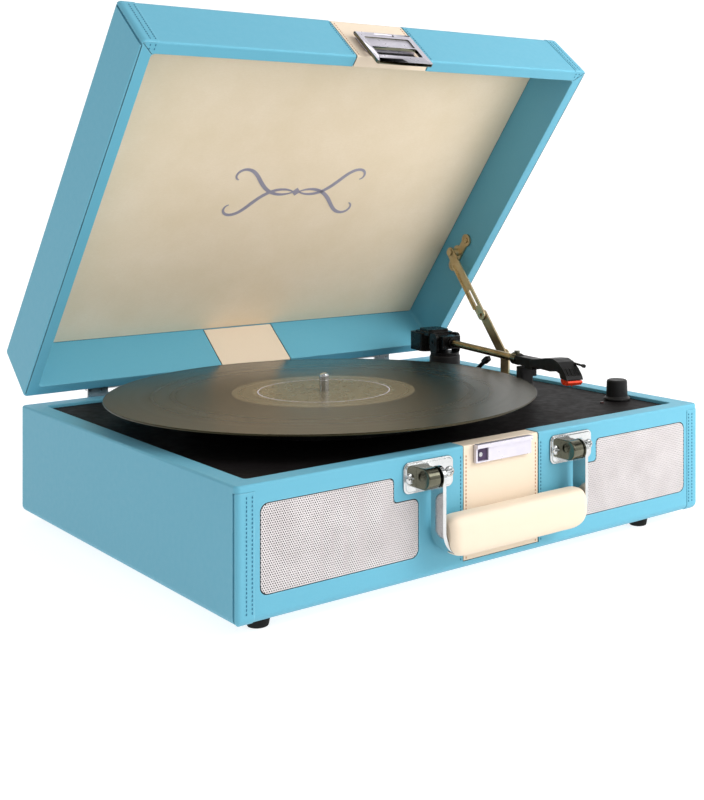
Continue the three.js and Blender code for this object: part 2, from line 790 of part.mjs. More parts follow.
function jackPanel() {
  const y1 = BACK - 2;
  const x0 = JACK.x - JACK.w / 2;
  const z0 = JACK.z - JACK.h / 2;
  let body = block(x0, x0 + JACK.w, y1 - 3, y1, z0, z0 + JACK.h);
  for (const x of [-24, -4]) {
    const at = [JACK.x + x, JACK.z];
    body = join(body, rod('y', at, 4.2, y1 - 12, y1 + 1.6, 12));
    body = cut(body, rod('y', at, 1.8, y1 - 4, y1 + 2, 10));
  }
  const powerAt = [JACK.x + 22, JACK.z];
  body = join(body, rod('y', powerAt, 5.5, y1 - 12, y1, 14));
  return cut(body, rod('y', powerAt, 3, y1 - 9, y1 + 1, 12));
}

// ---- the lid, drawn shut ----
function lidShell() {
  const top = LID_Z + LID_H;
  const rings = [
    ...edgeRings(EDGE_R, top, -1),
    ring(0, LID_Z + RIM_R, CORNER_R),
    ring(RIM_R * ARC_SHARE, LID_Z + RIM_R * ARC_SHARE, CORNER_R),
    ring(RIM_R, LID_Z, CORNER_R - 1),
    ring(LID_T - INNER_CHAMFER, LID_Z, INNER_CORNER_R),
    ring(LID_T, LID_Z + INNER_CHAMFER, INNER_CORNER_R),
    ring(LID_T, top - LID_TOP_T, INNER_CORNER_R),
  ];
  const half = BAND_W / 2 + GAP;
  const channel = push('x', lidBandPath(GROOVE + 2, -2, 0), -half, half);
  return cut(skinned(rings), channel);
}

// The band's course round the lid: inside the front wall, over the front rim, up the front,
// across the top, down the back, over the rear rim and up inside the rear wall.
function lidBandPath(depth, sink, end) {
  const out = BACK - sink;
  const inn = BACK - LID_T + sink;
  const low = LID_Z + sink;
  const lip = LID_Z + 4 - end;
  const roof = LINING_Z - GAP - end;
  const points = [[-inn, lip], [-inn, low], [-out, low]];
  const arc = (cy, cz, radius, from, to) => {
    for (let i = 0; i <= 4; i++) {
      const a = from + ((to - from) * i) / 4;
      points.push([cy + radius * Math.cos(a), cz + radius * Math.sin(a)]);
    }
  };
  const r = EDGE_R - sink;
  const y = BACK - EDGE_R;
  const z = LID_Z + LID_H - EDGE_R;
  arc(-y, z, r, Math.PI, Math.PI / 2);
  arc(y, z, r, Math.PI / 2, 0);
  points.push([out, low], [inn, low], [inn, roof], [inn + depth, roof], [inn + depth, low + depth]);
  points.push([out - depth, low + depth]);
  arc(y, z, r - depth, 0, Math.PI / 2);
  arc(-y, z, r - depth, Math.PI / 2, Math.PI);
  points.push([-(out - depth), low + depth], [-(inn + depth), low + depth], [-(inn + depth), lip]);
  return polygon(points);
}

function lidBand() {
  return push('x', lidBandPath(BAND_T, BAND_SINK, GAP), -BAND_W / 2, BAND_W / 2);
}

function lidLining() {
  const w = CASE_W - 2 * (LID_T + GAP);
  const d = CASE_D - 2 * (LID_T + GAP);
  return push('z', roundedRect(w, d, 2.6), LINING_Z, LINING_Z + LINING_T, 3);
}

function latchMount() {
  const plate = block(-21, 21, FRONT - 1.3, FRONT, 84, 104.5);
  const core = rod('x', [HASP_PIVOT.y, HASP_PIVOT.z], 2.6, -HASP_CORE, HASP_CORE);
  const webLow = HASP_PIVOT.z - 1.5;
  const web = block(-HASP_CORE, HASP_CORE, HASP_PIVOT.y, FRONT - 1, webLow, webLow + 3);
  const pin = rod('x', [HASP_PIVOT.y, HASP_PIVOT.z], 1.2, -21, 21, 12);
  return join(plate, core, web, pin);
}

function latchHasp() {
  const half = HASP_W / 2;
  const y0 = FRONT - 4.4;
  const y1 = FRONT - 1.8;
  const frame = block(-half, half, y0, y1, HASP_LOW, HASP_HIGH - 6);
  const { border, low, high } = HASP_WINDOW;
  const window = block(-half + border, half - border, y0 - 1, y1 + 1, low, high);
  let body = cut(frame, window);
  for (const [x0, x1] of [[-half, -HASP_CORE - GAP], [HASP_CORE + GAP, half]]) {
    body = join(body, rod('x', [HASP_PIVOT.y, HASP_PIVOT.z], 2.7, x0, x1));
    body = join(body, block(x0, x1, y0, y1, 96, HASP_PIVOT.z));
  }
  return cut(body, rod('x', [HASP_PIVOT.y, HASP_PIVOT.z], 1.5, -half - 1, half + 1, 12));
}

// ---- lid stay ----
const STAY_BRACKET = { x0: 176.4, x1: 178 };
const STAY_LOW = { x0: 174.4, x1: 176 };
const STAY_UP = { x0: 172.4, x1: 174 };
const STAY_LINK_W = 9;
const STAY_RIVET = { r: 1.9, headR: 3, bore: 2.2 };
const STAY_PLATE = { w: 40, h: 11, r: 5, along: 1.2, above: 2.2 };
const STAY_ANGLE = Math.atan2(STAY_LID.z - STAY_DECK.z, STAY_LID.y - STAY_DECK.y);
const ELBOW_BORE = 1.6;
const STAY_LENGTH = Math.hypot(STAY_LID.z - STAY_DECK.z, STAY_LID.y - STAY_DECK.y);
const STAY_UPPER = STAY_LENGTH - STAY_LOWER;

function stayDeckBracket() {
  const { y, z } = STAY_DECK;
  const { x0, x1 } = STAY_BRACKET;
  const upright = block(x0, x1, y - 5, y + 5, DECK_TOP + GAP, z);
  const eye = rod('x', [y, z], 5, x0, x1);
  const foot = block(166, x1, y - 5, y + 5, DECK_TOP + GAP, DECK_TOP + 1.8);
  const rivet = rod('x', [y, z], STAY_RIVET.r, STAY_LOW.x0 - 0.6, x1 - 0.5, 10);
  const head = rod('x', [y, z], STAY_RIVET.headR, STAY_LOW.x0 - 1.6, STAY_LOW.x0 - 0.5, 10);
  return join(upright, eye, foot, rivet, head);
}

// A flat link of the stay from (0, 0) to (length, 0), with eyes at its ends.
function link(length, width, x0, x1, bores) {
  const shape = new THREE.Shape();
  const r = width / 2;
  shape.absarc(0, 0, r, Math.PI / 2, 1.5 * Math.PI);
  shape.absarc(length, 0, r, -Math.PI / 2, Math.PI / 2);
  let body = push('x', shape, x0, x1, 4);
  for (const [at, radius] of bores) {
    body = cut(body, rod('x', [at, 0], radius, x0 - 1, x1 + 1, 10));
  }
  return body;
}

const turnInSide = (body, angle, { y, z }) =>
  body.rotate((angle * 180) / Math.PI, 0, 0).translate(0, y, z);

function stayLowerArm() {
  const { x0, x1 } = STAY_LOW;
  const bar = link(STAY_LOWER, STAY_LINK_W, x0, x1, [[0, STAY_RIVET.bore]]);
  return turnInSide(bar, STAY_ANGLE, STAY_DECK);
}

function stayUpperArm() {
  const { x0, x1 } = STAY_UP;
  const bores = [[0, STAY_RIVET.bore], [STAY_UPPER, ELBOW_BORE]];
  const bar = link(STAY_UPPER, STAY_LINK_W, x0, x1, bores);
  return turnInSide(bar, STAY_ANGLE + Math.PI, STAY_LID);
}

// Fixed to the lid's inner side wall along its length; placed in the open position it holds.
function stayLidBracket() {
  const { y, z } = STAY_LID;
  const x1 = CASE_W / 2 - LID_T - GAP;
  const x0 = x1 - 1.5;
  const { w, h, r, along, above } = STAY_PLATE;
  const strip = push('x', roundedRect(w, h, r, along, above), x0, x1);
  const plate = strip.rotate(180 - LID_OPEN_DEG, 0, 0).translate(0, y, z);
  const boss = rod('x', [y, z], 6, x0, x1);
  const post = rod('x', [y, z], 3.4, STAY_UP.x1 + 0.4, x0 + 0.2, 12);
  const rivet = rod('x', [y, z], STAY_RIVET.r, STAY_UP.x0 - 0.5, STAY_UP.x1 + 0.5, 10);
  const head = rod('x', [y, z], STAY_RIVET.headR, STAY_UP.x0 - 1.5, STAY_UP.x0 - 0.4, 10);
  return join(plate, boss, post, rivet, head);
}

// ---- assembly ----
function baseMeshes() {
  const meshes = [
    named('base_case', baseCase(), BLUE()),
    named('front_band', baseBand(-1), CREAM()),
    named('rear_band', baseBand(1), CREAM()),
    named('bottom_cover', push('z', roundedRect(COVER_W, COVER_D, 6), 0, COVER_T, 4), BLACK()),
    named('deck_plate', deckPlate(), BLACK()),
    named('latch_catch', latchCatch(), CHROME()),
    named('circuit_board', circuitBoard(), paint(0x2f6b45, 0.6, 0)),
    named('jack_panel', jackPanel(), BLACK()),
    named('volume_control', volumeControl(), STEEL()),
    named('power_led', powerLed(), paint(0x5a1a12, 0.3, 0)),
    named('motor', motor(), STEEL()),
    named('drive_belt', driveBelt(), RUBBER()),
    named('platter_bearing', platterBearing(), BRASS()),
    named('arm_pedestal', armPedestal(), GREY()),
    named('stay_deck_bracket', stayDeckBracket(), BRASS()),
  ];
  for (const [name, place] of Object.entries(FEET)) {
    meshes.push(named(name, foot(place), RUBBER()));
  }
  return meshes;
}

function pairedMeshes() {
  const meshes = [];
  for (const [side, word] of [[-1, 'left'], [1, 'right']]) {
    const bracketX = BRACKET_X[side < 0 ? 0 : 1];
    const plateX = bracketX + PLATE_OFFSET;
    const grille = push('y', grilleOutline(side, 0), FRONT + 0.2, FRONT + 1.2);
    meshes.push(
      named(`speaker_grille_${word}`, grille, paint(0xd9d4d4, 0.45, 0.6)),
      named(`speaker_${word}`, speaker(side), BLACK()),
      named(`handle_bracket_${word}`, handleBracket(bracketX), CHROME()),
      named(`bracket_screw_${word}_a`, screw(plateX - PLATE_SCREW_X, HANDLE_Z), CHROME()),
      named(`bracket_screw_${word}_b`, screw(plateX + PLATE_SCREW_X, HANDLE_Z), CHROME()),
      named(`hinge_base_leaf_${word}`, hingeBaseLeaf(side * HINGE_X), CHROME()),
      named(`hinge_pin_${word}`, hingePin(side * HINGE_X), STEEL()),
    );
  }
  return meshes;
}

function movingBaseMeshes() {
  return [
    named('platter', platter(), paint(0x2a2a2a, 0.4, 0.3)),
    named('slipmat', slipmat(), RUBBER()),
    named('vinyl_record', vinylRecord(), paint(0x15130f, 0.2, 0)),
    named('spindle', spindle(), CHROME()),
    named('motor_pulley', motorPulley(), BRASS()),
    named('volume_knob', volumeKnob(), GREY()),
    named('handle_strap', handleStrap(), CHROME()),
    named('handle_grip', handleGrip(), CREAM()),
    named('stay_lower_arm', stayLowerArm(), BRASS()),
    named('stay_upper_arm', stayUpperArm(), BRASS()),
    named('stay_lid_bracket', stayLidBracket(), BRASS()),
  ];
}

function armMeshes() {
  return armGroup(
    named('arm_rest_post', armRestPost(), GREY()),
    named('arm_yoke', armYoke(), BLACK()),
    named('arm_block', armBlock(), BLACK()),
    named('arm_tube', armTube(), BRASS()),
    named('headshell', headshell(), BLACK()),
    named('cartridge', cartridge(), BLACK()),
    named('stylus', stylus(), paint(0xe8401c, 0.35, 0)),
    named('cue_bracket', cueBracket(), GREY()),
    named('cue_lever', cueLever(), BLACK()),
  );
}

// The lid's pieces are drawn shut and turned about the hinge pins to the open position.
function lidMeshes() {
  const drawn = new THREE.Group();
  drawn.position.set(0, -PIN_Y, -PIN_Z);
  drawn.add(
    named('lid_shell', lidShell(), BLUE()),
    named('lid_lining', lidLining(), paint(0xddd0ae, 0.8, 0)),
    named('lid_band', lidBand(), CREAM()),
    named('latch_mount', latchMount(), CHROME()),
    named('latch_hasp', latchHasp(), CHROME()),
    named('hinge_lid_leaf_left', hingeLidLeaf(-HINGE_X), CHROME()),
    named('hinge_lid_leaf_right', hingeLidLeaf(HINGE_X), CHROME()),
  );
  const opened = new THREE.Group();
  opened.position.set(0, PIN_Y, PIN_Z);
  opened.rotation.x = -(LID_OPEN_DEG * Math.PI) / 180;
  opened.add(drawn);
  return opened;
}

const player = new THREE.Group();
player.add(...baseMeshes());
player.add(...pairedMeshes());
player.add(...movingBaseMeshes());
player.add(armMeshes());
player.add(lidMeshes());

export default player;
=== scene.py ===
import json
import math

import bmesh
import bpy
from mathutils import Matrix, Vector, noise

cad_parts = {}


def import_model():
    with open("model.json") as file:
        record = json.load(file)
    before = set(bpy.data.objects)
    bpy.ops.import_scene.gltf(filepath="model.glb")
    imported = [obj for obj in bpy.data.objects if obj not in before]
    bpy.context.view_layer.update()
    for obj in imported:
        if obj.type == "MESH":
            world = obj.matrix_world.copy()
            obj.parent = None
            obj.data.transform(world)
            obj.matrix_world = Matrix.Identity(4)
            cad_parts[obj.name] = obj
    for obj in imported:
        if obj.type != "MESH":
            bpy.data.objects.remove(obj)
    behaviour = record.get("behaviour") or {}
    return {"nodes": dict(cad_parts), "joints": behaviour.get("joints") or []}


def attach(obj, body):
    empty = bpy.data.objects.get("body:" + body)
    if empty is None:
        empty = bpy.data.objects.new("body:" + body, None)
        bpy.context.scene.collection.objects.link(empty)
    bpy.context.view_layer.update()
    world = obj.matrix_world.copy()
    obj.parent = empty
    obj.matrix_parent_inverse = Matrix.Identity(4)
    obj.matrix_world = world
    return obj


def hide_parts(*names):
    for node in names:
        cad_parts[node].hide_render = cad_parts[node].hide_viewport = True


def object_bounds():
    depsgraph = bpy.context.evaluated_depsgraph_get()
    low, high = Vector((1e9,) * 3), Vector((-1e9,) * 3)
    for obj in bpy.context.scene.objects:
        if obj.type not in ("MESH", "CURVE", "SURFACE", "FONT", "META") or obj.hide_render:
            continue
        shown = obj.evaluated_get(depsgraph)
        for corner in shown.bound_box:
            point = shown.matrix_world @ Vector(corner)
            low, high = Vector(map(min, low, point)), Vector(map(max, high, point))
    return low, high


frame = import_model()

# Looks of a suitcase record player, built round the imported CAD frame.
# Shapes are drawn in millimetres and turned to metres when a piece is finished.
MM = 0.001
CAD_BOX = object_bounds()
NODES = frame["nodes"]
JOINTS = {joint["name"]: joint for joint in frame["joints"]}
BASE = Matrix.Identity(4)


# ---- places, read from the frame ----
def joint_at(joint):
    return Vector(JOINTS[joint]["pos_m"])


def lid_place():
    """From the lid as drawn shut to the lid as it stands open: the lining's slope gives the angle."""
    pin = joint_at("lid_hinge")
    sheet = max(NODES["lid_lining"].data.polygons, key=lambda face: face.area)
    down = sheet.normal if sheet.normal.z < 0 else -sheet.normal
    angle = math.atan2(-down.y, -down.z)
    return Matrix.Translation(pin) @ Matrix.Rotation(-angle, 4, "X") @ Matrix.Translation(-pin)


def arm_place():
    """From the tonearm's own axes (x along the tube, z up) to the frame."""
    at = joint_at("arm_swing")
    across = JOINTS["arm_lift"]["axis"]
    rest = math.atan2(across[1], -across[0])
    return Matrix.Translation((at.x, at.y, 0)) @ Matrix.Rotation(-math.pi / 2 - rest, 4, "Z")


LID = lid_place()
ARM = arm_place()


def span(node, place=BASE):
    """Lowest and highest corner of a CAD node in millimetres, in the axes of a place."""
    back = place.inverted()
    points = [back @ vertex.co for vertex in NODES[node].data.vertices]
    low = Vector([min(p[i] for p in points) for i in range(3)])
    high = Vector([max(p[i] for p in points) for i in range(3)])
    return low / MM, high / MM


def middle(node, place=BASE):
    low, high = span(node, place)
    return (low + high) / 2


def pivot(joint, place=BASE):
    """A joint's place in millimetres, in the axes of a place."""
    return [value / MM for value in place.inverted() @ joint_at(joint)]


# ---- driving values, in millimetres ----
CASE_LOW, CASE_HIGH = span("base_case")
HALF_W = CASE_HIGH.x
HALF_D = CASE_HIGH.y
FRONT = CASE_LOW.y
BACK = CASE_HIGH.y
BASE_H = CASE_HIGH.z
DECK_TOP = span("deck_plate")[1].z
DECK_LOW = span("deck_plate")[0].z
LID_LOW, LID_HIGH = span("lid_shell", LID)
BAND_HALF = span("front_band")[1].x

# Radii of the upright corners, of the turned edges and of the rims.
CORNER_R = 3.5
EDGE_R = 5
RIM_R = 1.5

# Thickness of the case's rim, ledge and floor, and of the lid's wall and top.
RIM_T = 13.5
LEDGE_T = 16.5
FLOOR_T = 6
LID_T = 9.5
LID_TOP_T = 3.5

# Gaps between neighbours. A cream band lies in a channel between rolled edges.
GAP = 0.3
BAND_GAP = 0.8
BAND_T = 0.9
CHANNEL_T = 3.5
ROLL_ANGLE = math.radians(60)

# Sewn strips over the front corners: their inner edge, their rows of stitches and their groove.
SEAM_X = 180.3
SEAM_ROWS = [side * x for side in (-1, 1) for x in (181.9, 185.5)]
PANEL_TOP = BASE_H - 4
SEAM_W = 1.7
SEAM_DEPTH = 1.3
SIDE_SEAM_Y = FRONT + 3.5
PROUD = 0.4
SUNK = -0.3

# Stitches, and the rows beside the bands and along the bands' edges.
STITCH_PITCH = 2.3
STITCH_L = 1.55
STITCH_W = 0.8
STITCH_H = 0.4
BESIDE_BAND = BAND_HALF + GAP + 2.3
ALONG_BAND = BAND_HALF - 2

# Grilles: their holes, and the notch that clears a handle bracket.
HOLE_PITCH = 1.5
HOLE_R = 0.47
NOTCH_W = 18.5
NOTCH_H = 35

# Metalwork.
EAR_R = 6.5
STRAP_T = 2.5
STRAP_HALF = 6
HASP_T = 2.6
KNUCKLE_R = 3.2
LINK_R = 4.5

# The record's run-out radius, and the pitch of its shaded grooves in metres.
RUN_OUT_R = 64
GROOVE_PITCH = 0.0013


# ---- mesh work ----
def solid(bm, name="solid"):
    bmesh.ops.recalc_face_normals(bm, faces=bm.faces)
    mesh = bpy.data.meshes.new(name)
    bm.to_mesh(mesh)
    bm.free()
    mesh.shade_smooth()
    made = bpy.data.objects.new(name, mesh)
    bpy.context.scene.collection.objects.link(made)
    return made


def bake(made):
    graph = bpy.context.evaluated_depsgraph_get()
    mesh = bpy.data.meshes.new_from_object(made.evaluated_get(graph), depsgraph=graph)
    made.modifiers.clear()
    made.data = mesh
    return made


def combine(first, others, operation):
    for other in others:
        boolean = first.modifiers.new("boolean", "BOOLEAN")
        boolean.operation = operation
        boolean.solver = "EXACT"
        boolean.object = other
    bake(first)
    for other in others:
        bpy.data.objects.remove(other)
    return first


def join(first, *others):
    return combine(first, others, "UNION")


def cut(first, *others):
    return combine(first, others, "DIFFERENCE")


def moved(made, matrix):
    made.data.transform(matrix)
    return made


def placed(made, at, degrees, axis):
    """Turned about an axis through the origin, then moved to its place."""
    return moved(made, Matrix.Translation(at) @ Matrix.Rotation(math.radians(degrees), 4, axis))


def arc(cx, cy, radius, start, end, steps):
    points = []
    for i in range(steps + 1):
        angle = math.radians(start + (end - start) * i / steps)
        points.append((cx + radius * math.cos(angle), cy + radius * math.sin(angle)))
    return points


def circle(cx, cy, radius, sides):
    return arc(cx, cy, radius, 0, 360 - 360 / sides, sides - 1)


def rounded(points, radii, steps=8):
    """A polygon with each corner turned by an arc of its own radius."""
    made = []
    count = len(points)
    for i, point in enumerate(points):
        radius = radii[i] if isinstance(radii, (list, tuple)) else radii
        corner = Vector(point)
        if radius <= 0:
            made.append(tuple(corner))
            continue
        before = (Vector(points[i - 1]) - corner).normalized()
        after = (Vector(points[(i + 1) % count]) - corner).normalized()
        half = before.angle(after) / 2
        reach = radius / math.tan(half)
        centre = corner + (before + after).normalized() * (radius / math.sin(half))
        first = corner + before * reach - centre
        sweep = first.angle_signed(corner + after * reach - centre)
        for step in range(steps + 1):
            turned = first.copy()
            turned.rotate(Matrix.Rotation(-sweep * step / steps, 2))
            made.append(tuple(centre + turned))
    return made


def rectangle(x0, x1, y0, y1, radius, steps=8):
    return rounded([(x0, y0), (x1, y0), (x1, y1), (x0, y1)], radius, steps)


def prism(outline, axis, low, high):
    """A flat outline pushed along an axis. Along x it is (y, z), along y (x, z), along z (x, y)."""
    bm = bmesh.new()
    ends = []
    for level in (low, high):
        place = {
            "x": lambda a, b: (level, a, b),
            "y": lambda a, b: (a, level, b),
            "z": lambda a, b: (a, b, level),
        }[axis]
        ends.append([bm.verts.new(place(a, b)) for a, b in outline])
    bm.faces.new(ends[0])
    bm.faces.new(ends[1])
    for i in range(len(outline)):
        j = (i + 1) % len(outline)
        bm.faces.new((ends[0][i], ends[0][j], ends[1][j], ends[1][i]))
    return solid(bm)


def block(x0, x1, y0, y1, z0, z1):
    return prism([(x0, y0), (x1, y0), (x1, y1), (x0, y1)], "z", z0, z1)


def rod(axis, centre, radius, low, high, sides=40):
    return prism(circle(*centre, radius, sides), axis, low, high)


def lathe(profile, x, y, sides=96):
    """A turned piece about the vertical through (x, y). The profile of (radius, z) closes itself."""
    bm = bmesh.new()
    rings = []
    for radius, z in profile:
        if radius < 1e-6:
            rings.append([bm.verts.new((x, y, z))])
        else:
            rings.append([bm.verts.new((a, b, z)) for a, b in circle(x, y, radius, sides)])
    closed = profile[0][0] > 1e-6
    pairs = list(zip(rings, rings[1:]))
    if closed:
        pairs.append((rings[-1], rings[0]))
    for lower, upper in pairs:
        for i in range(sides):
            j = (i + 1) % sides
            corners = []
            for ring, k in ((lower, i), (lower, j), (upper, j), (upper, i)):
                vertex = ring[k] if len(ring) > 1 else ring[0]
                if vertex not in corners:
                    corners.append(vertex)
            if len(corners) > 2:
                bm.faces.new(corners)
    return solid(bm)


def loft(bm, rows):
    """Adds a closed skin through rows of points of equal count, capped at both ends."""
    made = [[bm.verts.new(point) for point in row] for row in rows]
    count = len(rows[0])
    for lower, upper in zip(made, made[1:]):
        for i in range(count):
            j = (i + 1) % count
            bm.faces.new((lower[i], lower[j], upper[j], upper[i]))
    bm.faces.new(made[0])
    bm.faces.new(made[-1])


def skin(rows, name="skin"):
    """A closed solid through rows of points of equal count, capped at both ends."""
    bm = bmesh.new()
    loft(bm, rows)
    return solid(bm, name)


def ring(inset, z, corner, steps=10):
    """One level of the case: a rounded rectangle inset from its walls."""
    x = HALF_W - inset
    y = HALF_D - inset
    return [(a, b, z) for a, b in rectangle(-x, x, -y, y, max(corner, 0.5), steps)]


def turned_edge(radius, z_flat, towards, steps):
    """Levels (inset, z, corner, tilt) round an edge, from its flat face to the wall."""
    made = []
    for i in range(steps + 1):
        a = i / steps * math.pi / 2
        inset = radius * (1 - math.sin(a))
        z = z_flat + towards * radius * (1 - math.cos(a))
        made.append((inset, z, CORNER_R - inset, -towards * math.cos(a)))
    return made


# ---- materials ----
def rgb(text):
    """A linear colour from a six-figure sRGB code."""
    made = []
    for i in (0, 2, 4):
        value = int(text[i:i + 2], 16) / 255
        made.append(value / 12.92 if value <= 0.04045 else ((value + 0.055) / 1.055) ** 2.4)
    return (*made, 1.0)


class Nodes:
    """A short way to wire shader nodes."""

    def __init__(self, tree):
        self.tree = tree

    def feed(self, socket, value):
        if isinstance(value, bpy.types.NodeSocket):
            self.tree.links.new(value, socket)
        else:
            socket.default_value = rgb(value) if isinstance(value, str) else value

    def out(self, kind, port=0, *inputs, **values):
        """A new node's output. Inputs go by place, values are attributes or inputs by name."""
        node = self.tree.nodes.new("ShaderNode" + kind)
        for key, value in values.items():
            if hasattr(node, key):
                setattr(node, key, value)
            else:
                self.feed(node.inputs[key.replace("_", " ")], value)
        for socket, value in zip(node.inputs, inputs):
            self.feed(socket, value)
        return node.outputs[port]


class Surface(Nodes):
    """A material's nodes. Textures are laid out in the piece's own axes."""

    def __init__(self, name):
        self.material = bpy.data.materials.new(name)
        self.material.use_nodes = True
        super().__init__(self.material.node_tree)
        self.place = self.out("TexCoord", "Object")

    def noise(self, scale, detail=3.0, rough=0.5, stretch=None):
        place = self.out("Mapping", Vector=self.place, Scale=stretch) if stretch else self.place
        return self.out("TexNoise", Vector=place, Scale=scale, Detail=detail, Roughness=rough)

    def remap(self, source, low, high, start=0.3, end=0.7):
        return self.out("MapRange", 0, source, start, end, low, high)

    def math(self, operation, *values):
        return self.out("Math", 0, *values, operation=operation)

    def vector(self, operation, port, *values):
        return self.out("VectorMath", port, *values, operation=operation)

    def mix(self, share, first, second):
        node = self.out("Mix", 2, share, data_type="RGBA").node
        self.feed(node.inputs[6], first)
        self.feed(node.inputs[7], second)
        return node.outputs[2]

    def drift(self, scale, detail, colour, shade, rough=0.5):
        """Two close colours, one fading into the other."""
        return self.mix(self.remap(self.noise(scale, detail, rough), 0, 1), colour, shade)

    def edges(self, reach=0.0012):
        """1 on sharp edges, 0 on flats: a rounded normal held against the true one."""
        soft = self.out("Bevel", samples=4, Radius=reach)
        held = self.vector("DOT_PRODUCT", "Value", self.out("NewGeometry", "Normal"), soft)
        return self.remap(held, 1, 0, 0.8, 0.98)

    def crease_shade_mask(self, reach=0.0016):
        """1 deep in a crease or groove, 0 on open surface: the mask of painted shade."""
        return self.remap(self.out("AmbientOcclusion", "AO", samples=4, Distance=reach), 1, 0, 0.2, 0.6)

    def bump(self, height, depth, strength):
        return self.out("Bump", Height=height, Distance=depth, Strength=strength)

    def made(self, **values):
        """Feeds the shader and gives the material."""
        shader = self.tree.nodes["Principled BSDF"]
        for key, value in values.items():
            self.feed(shader.inputs[key.replace("_", " ")], value)
        return self.material


def leatherette(name, colour, shade, worn, crease_shade):
    """Embossed coated cloth: pebble grain, soft colour drift, painted shade darkening each crease, paler
    worn edges.
    """
    n = Surface(name)
    base = n.mix(n.remap(n.noise(9, 3), 0, 0.1), colour, shade)
    base = n.mix(n.remap(n.noise(1100, 2), 0, 0.1, 0.45, 0.7), base, shade)
    wear = n.math("MULTIPLY", n.edges(), n.remap(n.noise(120, 4), 0.05, 0.45))
    base = n.mix(wear, base, worn)
    cells = n.out("TexVoronoi", feature="SMOOTH_F1", Scale=1000, Vector=n.place)
    pebble = n.math("ADD", cells, n.math("MULTIPLY", n.noise(2300, 2), 0.5))
    # Painted shade: deep in grooves the colour darkens towards the crease shade colour.
    return n.made(
        Base_Color=n.mix(n.crease_shade_mask(), base, crease_shade),
        Roughness=n.remap(n.noise(260, 3), 0.5, 0.62),
        Normal=n.bump(pebble, 0.0001, 0.22),
        Sheen_Weight=0.06,
        Specular_IOR_Level=0.42,
    )


def lining_cloth():
    """Paper-backed lining with a soft mottle."""
    n = Surface("lining")
    fibre = n.remap(n.noise(420, 4, 0.7, (1, 3, 1)), 0, 0.3)
    return n.made(
        Base_Color=n.mix(fibre, n.drift(26, 6, "e9d7ba", "f1e0c7", 0.6), "e2cca8"),
        Roughness=n.remap(n.noise(300), 0.72, 0.9),
        Normal=n.bump(n.noise(700, 4, 0.7), 0.0002, 0.3),
        Sheen_Weight=0.1,
        Specular_IOR_Level=0.25,
    )


def metal(name, colour, shade, low, high, brush=(1, 1, 1), scratch=0.15, metallic=1.0):
    """Plated or raw metal with smudges and fine lines."""
    n = Surface(name)
    return n.made(
        Base_Color=n.drift(60, 5, colour, shade, 0.6),
        Roughness=n.remap(n.noise(240, 4, 0.6, brush), low, high),
        Normal=n.bump(n.noise(700, 2, 0.5, brush), 0.00002, scratch),
        Metallic=metallic,
    )


def plastic(name, colour, shade, low, high, grain=1500, depth=0.00006, strength=0.4, shine=0.3):
    """Moulded plastic with a fine spark-eroded grain and scuffed edges."""
    n = Surface(name)
    wear = n.math("MULTIPLY", n.edges(0.0006), 0.18)
    return n.made(
        Base_Color=n.mix(wear, n.drift(45, 4, colour, shade), "8a8884"),
        Roughness=n.remap(n.noise(180, 4), low, high),
        Normal=n.bump(n.noise(grain, 3, 0.6), depth, strength),
        Specular_IOR_Level=shine,
    )


def thread(name, colour, shade):
    """Twisted sewing thread."""
    n = Surface(name)
    twist = n.remap(n.noise(2600, 2, 0.5, (1, 1, 0.3)), 0, 1)
    return n.made(
        Base_Color=n.mix(twist, colour, shade),
        Normal=n.bump(n.noise(3000, 2), 0.0001, 0.6),
        Roughness=0.8,
        Sheen_Weight=0.3,
    )


def radius_from(n, centre):
    """Distance from a vertical axis, in metres."""
    shift = n.vector("SUBTRACT", 0, n.place, centre)
    return n.vector("LENGTH", "Value", n.vector("MULTIPLY", 0, shift, (1, 1, 0)))


def vinyl(centre):
    """Pressed record: grooves in bands of music, a painted reflection that pales the run-out, tinted
    smeared reflections.
    """
    n = Surface("vinyl")
    radius = radius_from(n, centre)
    bands = n.out("TexNoise", noise_dimensions="1D", Scale=130, Detail=4, W=radius)
    music = n.mix(n.remap(bands, 0, 1), "17130d", "1e1a12")
    # Painted reflection: the run-out takes a pale olive colour that stands for the sheen of its smooth
    # vinyl.
    run_out_painted_reflection = n.remap(radius, 1, 0, RUN_OUT_R * MM, (RUN_OUT_R + 0.6) * MM)
    grooves = n.math("SINE", n.math("MULTIPLY", radius, 2 * math.pi / GROOVE_PITCH))
    return n.made(
        Base_Color=n.mix(run_out_painted_reflection, music, "6a5f49"),
        Roughness=n.remap(bands, 0.25, 0.275),
        Normal=n.bump(grooves, 0.00001, 0.12),
        Tangent=n.out("Tangent", direction_type="RADIAL", axis="Z"),
        Anisotropic=0.8,
        Specular_IOR_Level=0.53,
        Specular_Tint=(1.0, 0.87, 0.45, 1),
    )


def label_paper(centre, label_r):
    """A dark printed label with one pale ring and no lettering."""
    n = Surface("label")
    radius = n.math("MULTIPLY", radius_from(n, centre), 1 / MM)
    off = n.math("ABSOLUTE", n.math("SUBTRACT", radius, label_r * 0.925))
    return n.made(
        Base_Color=n.mix(n.remap(off, 1, 0, 0.25, 0.55), n.drift(300, 4, "63583d", "6c6146"), "d6d0e2"),
        Roughness=n.remap(n.noise(200), 0.26, 0.28),
        Normal=n.bump(n.noise(1200, 3), 0.00001, 0.03),
        Specular_IOR_Level=0.5,
        Specular_Tint=(1.0, 0.88, 0.55, 1),
    )


def perforated_metal():
    n = Surface("grille")
    return n.made(
        Base_Color=n.drift(50, 4, "dcd6d6", "cfc8c8"),
        Roughness=n.remap(n.noise(500, 3), 0.38, 0.52),
        Normal=n.bump(n.noise(1800, 2), 0.00004, 0.3),
        Metallic=0.25,
    )


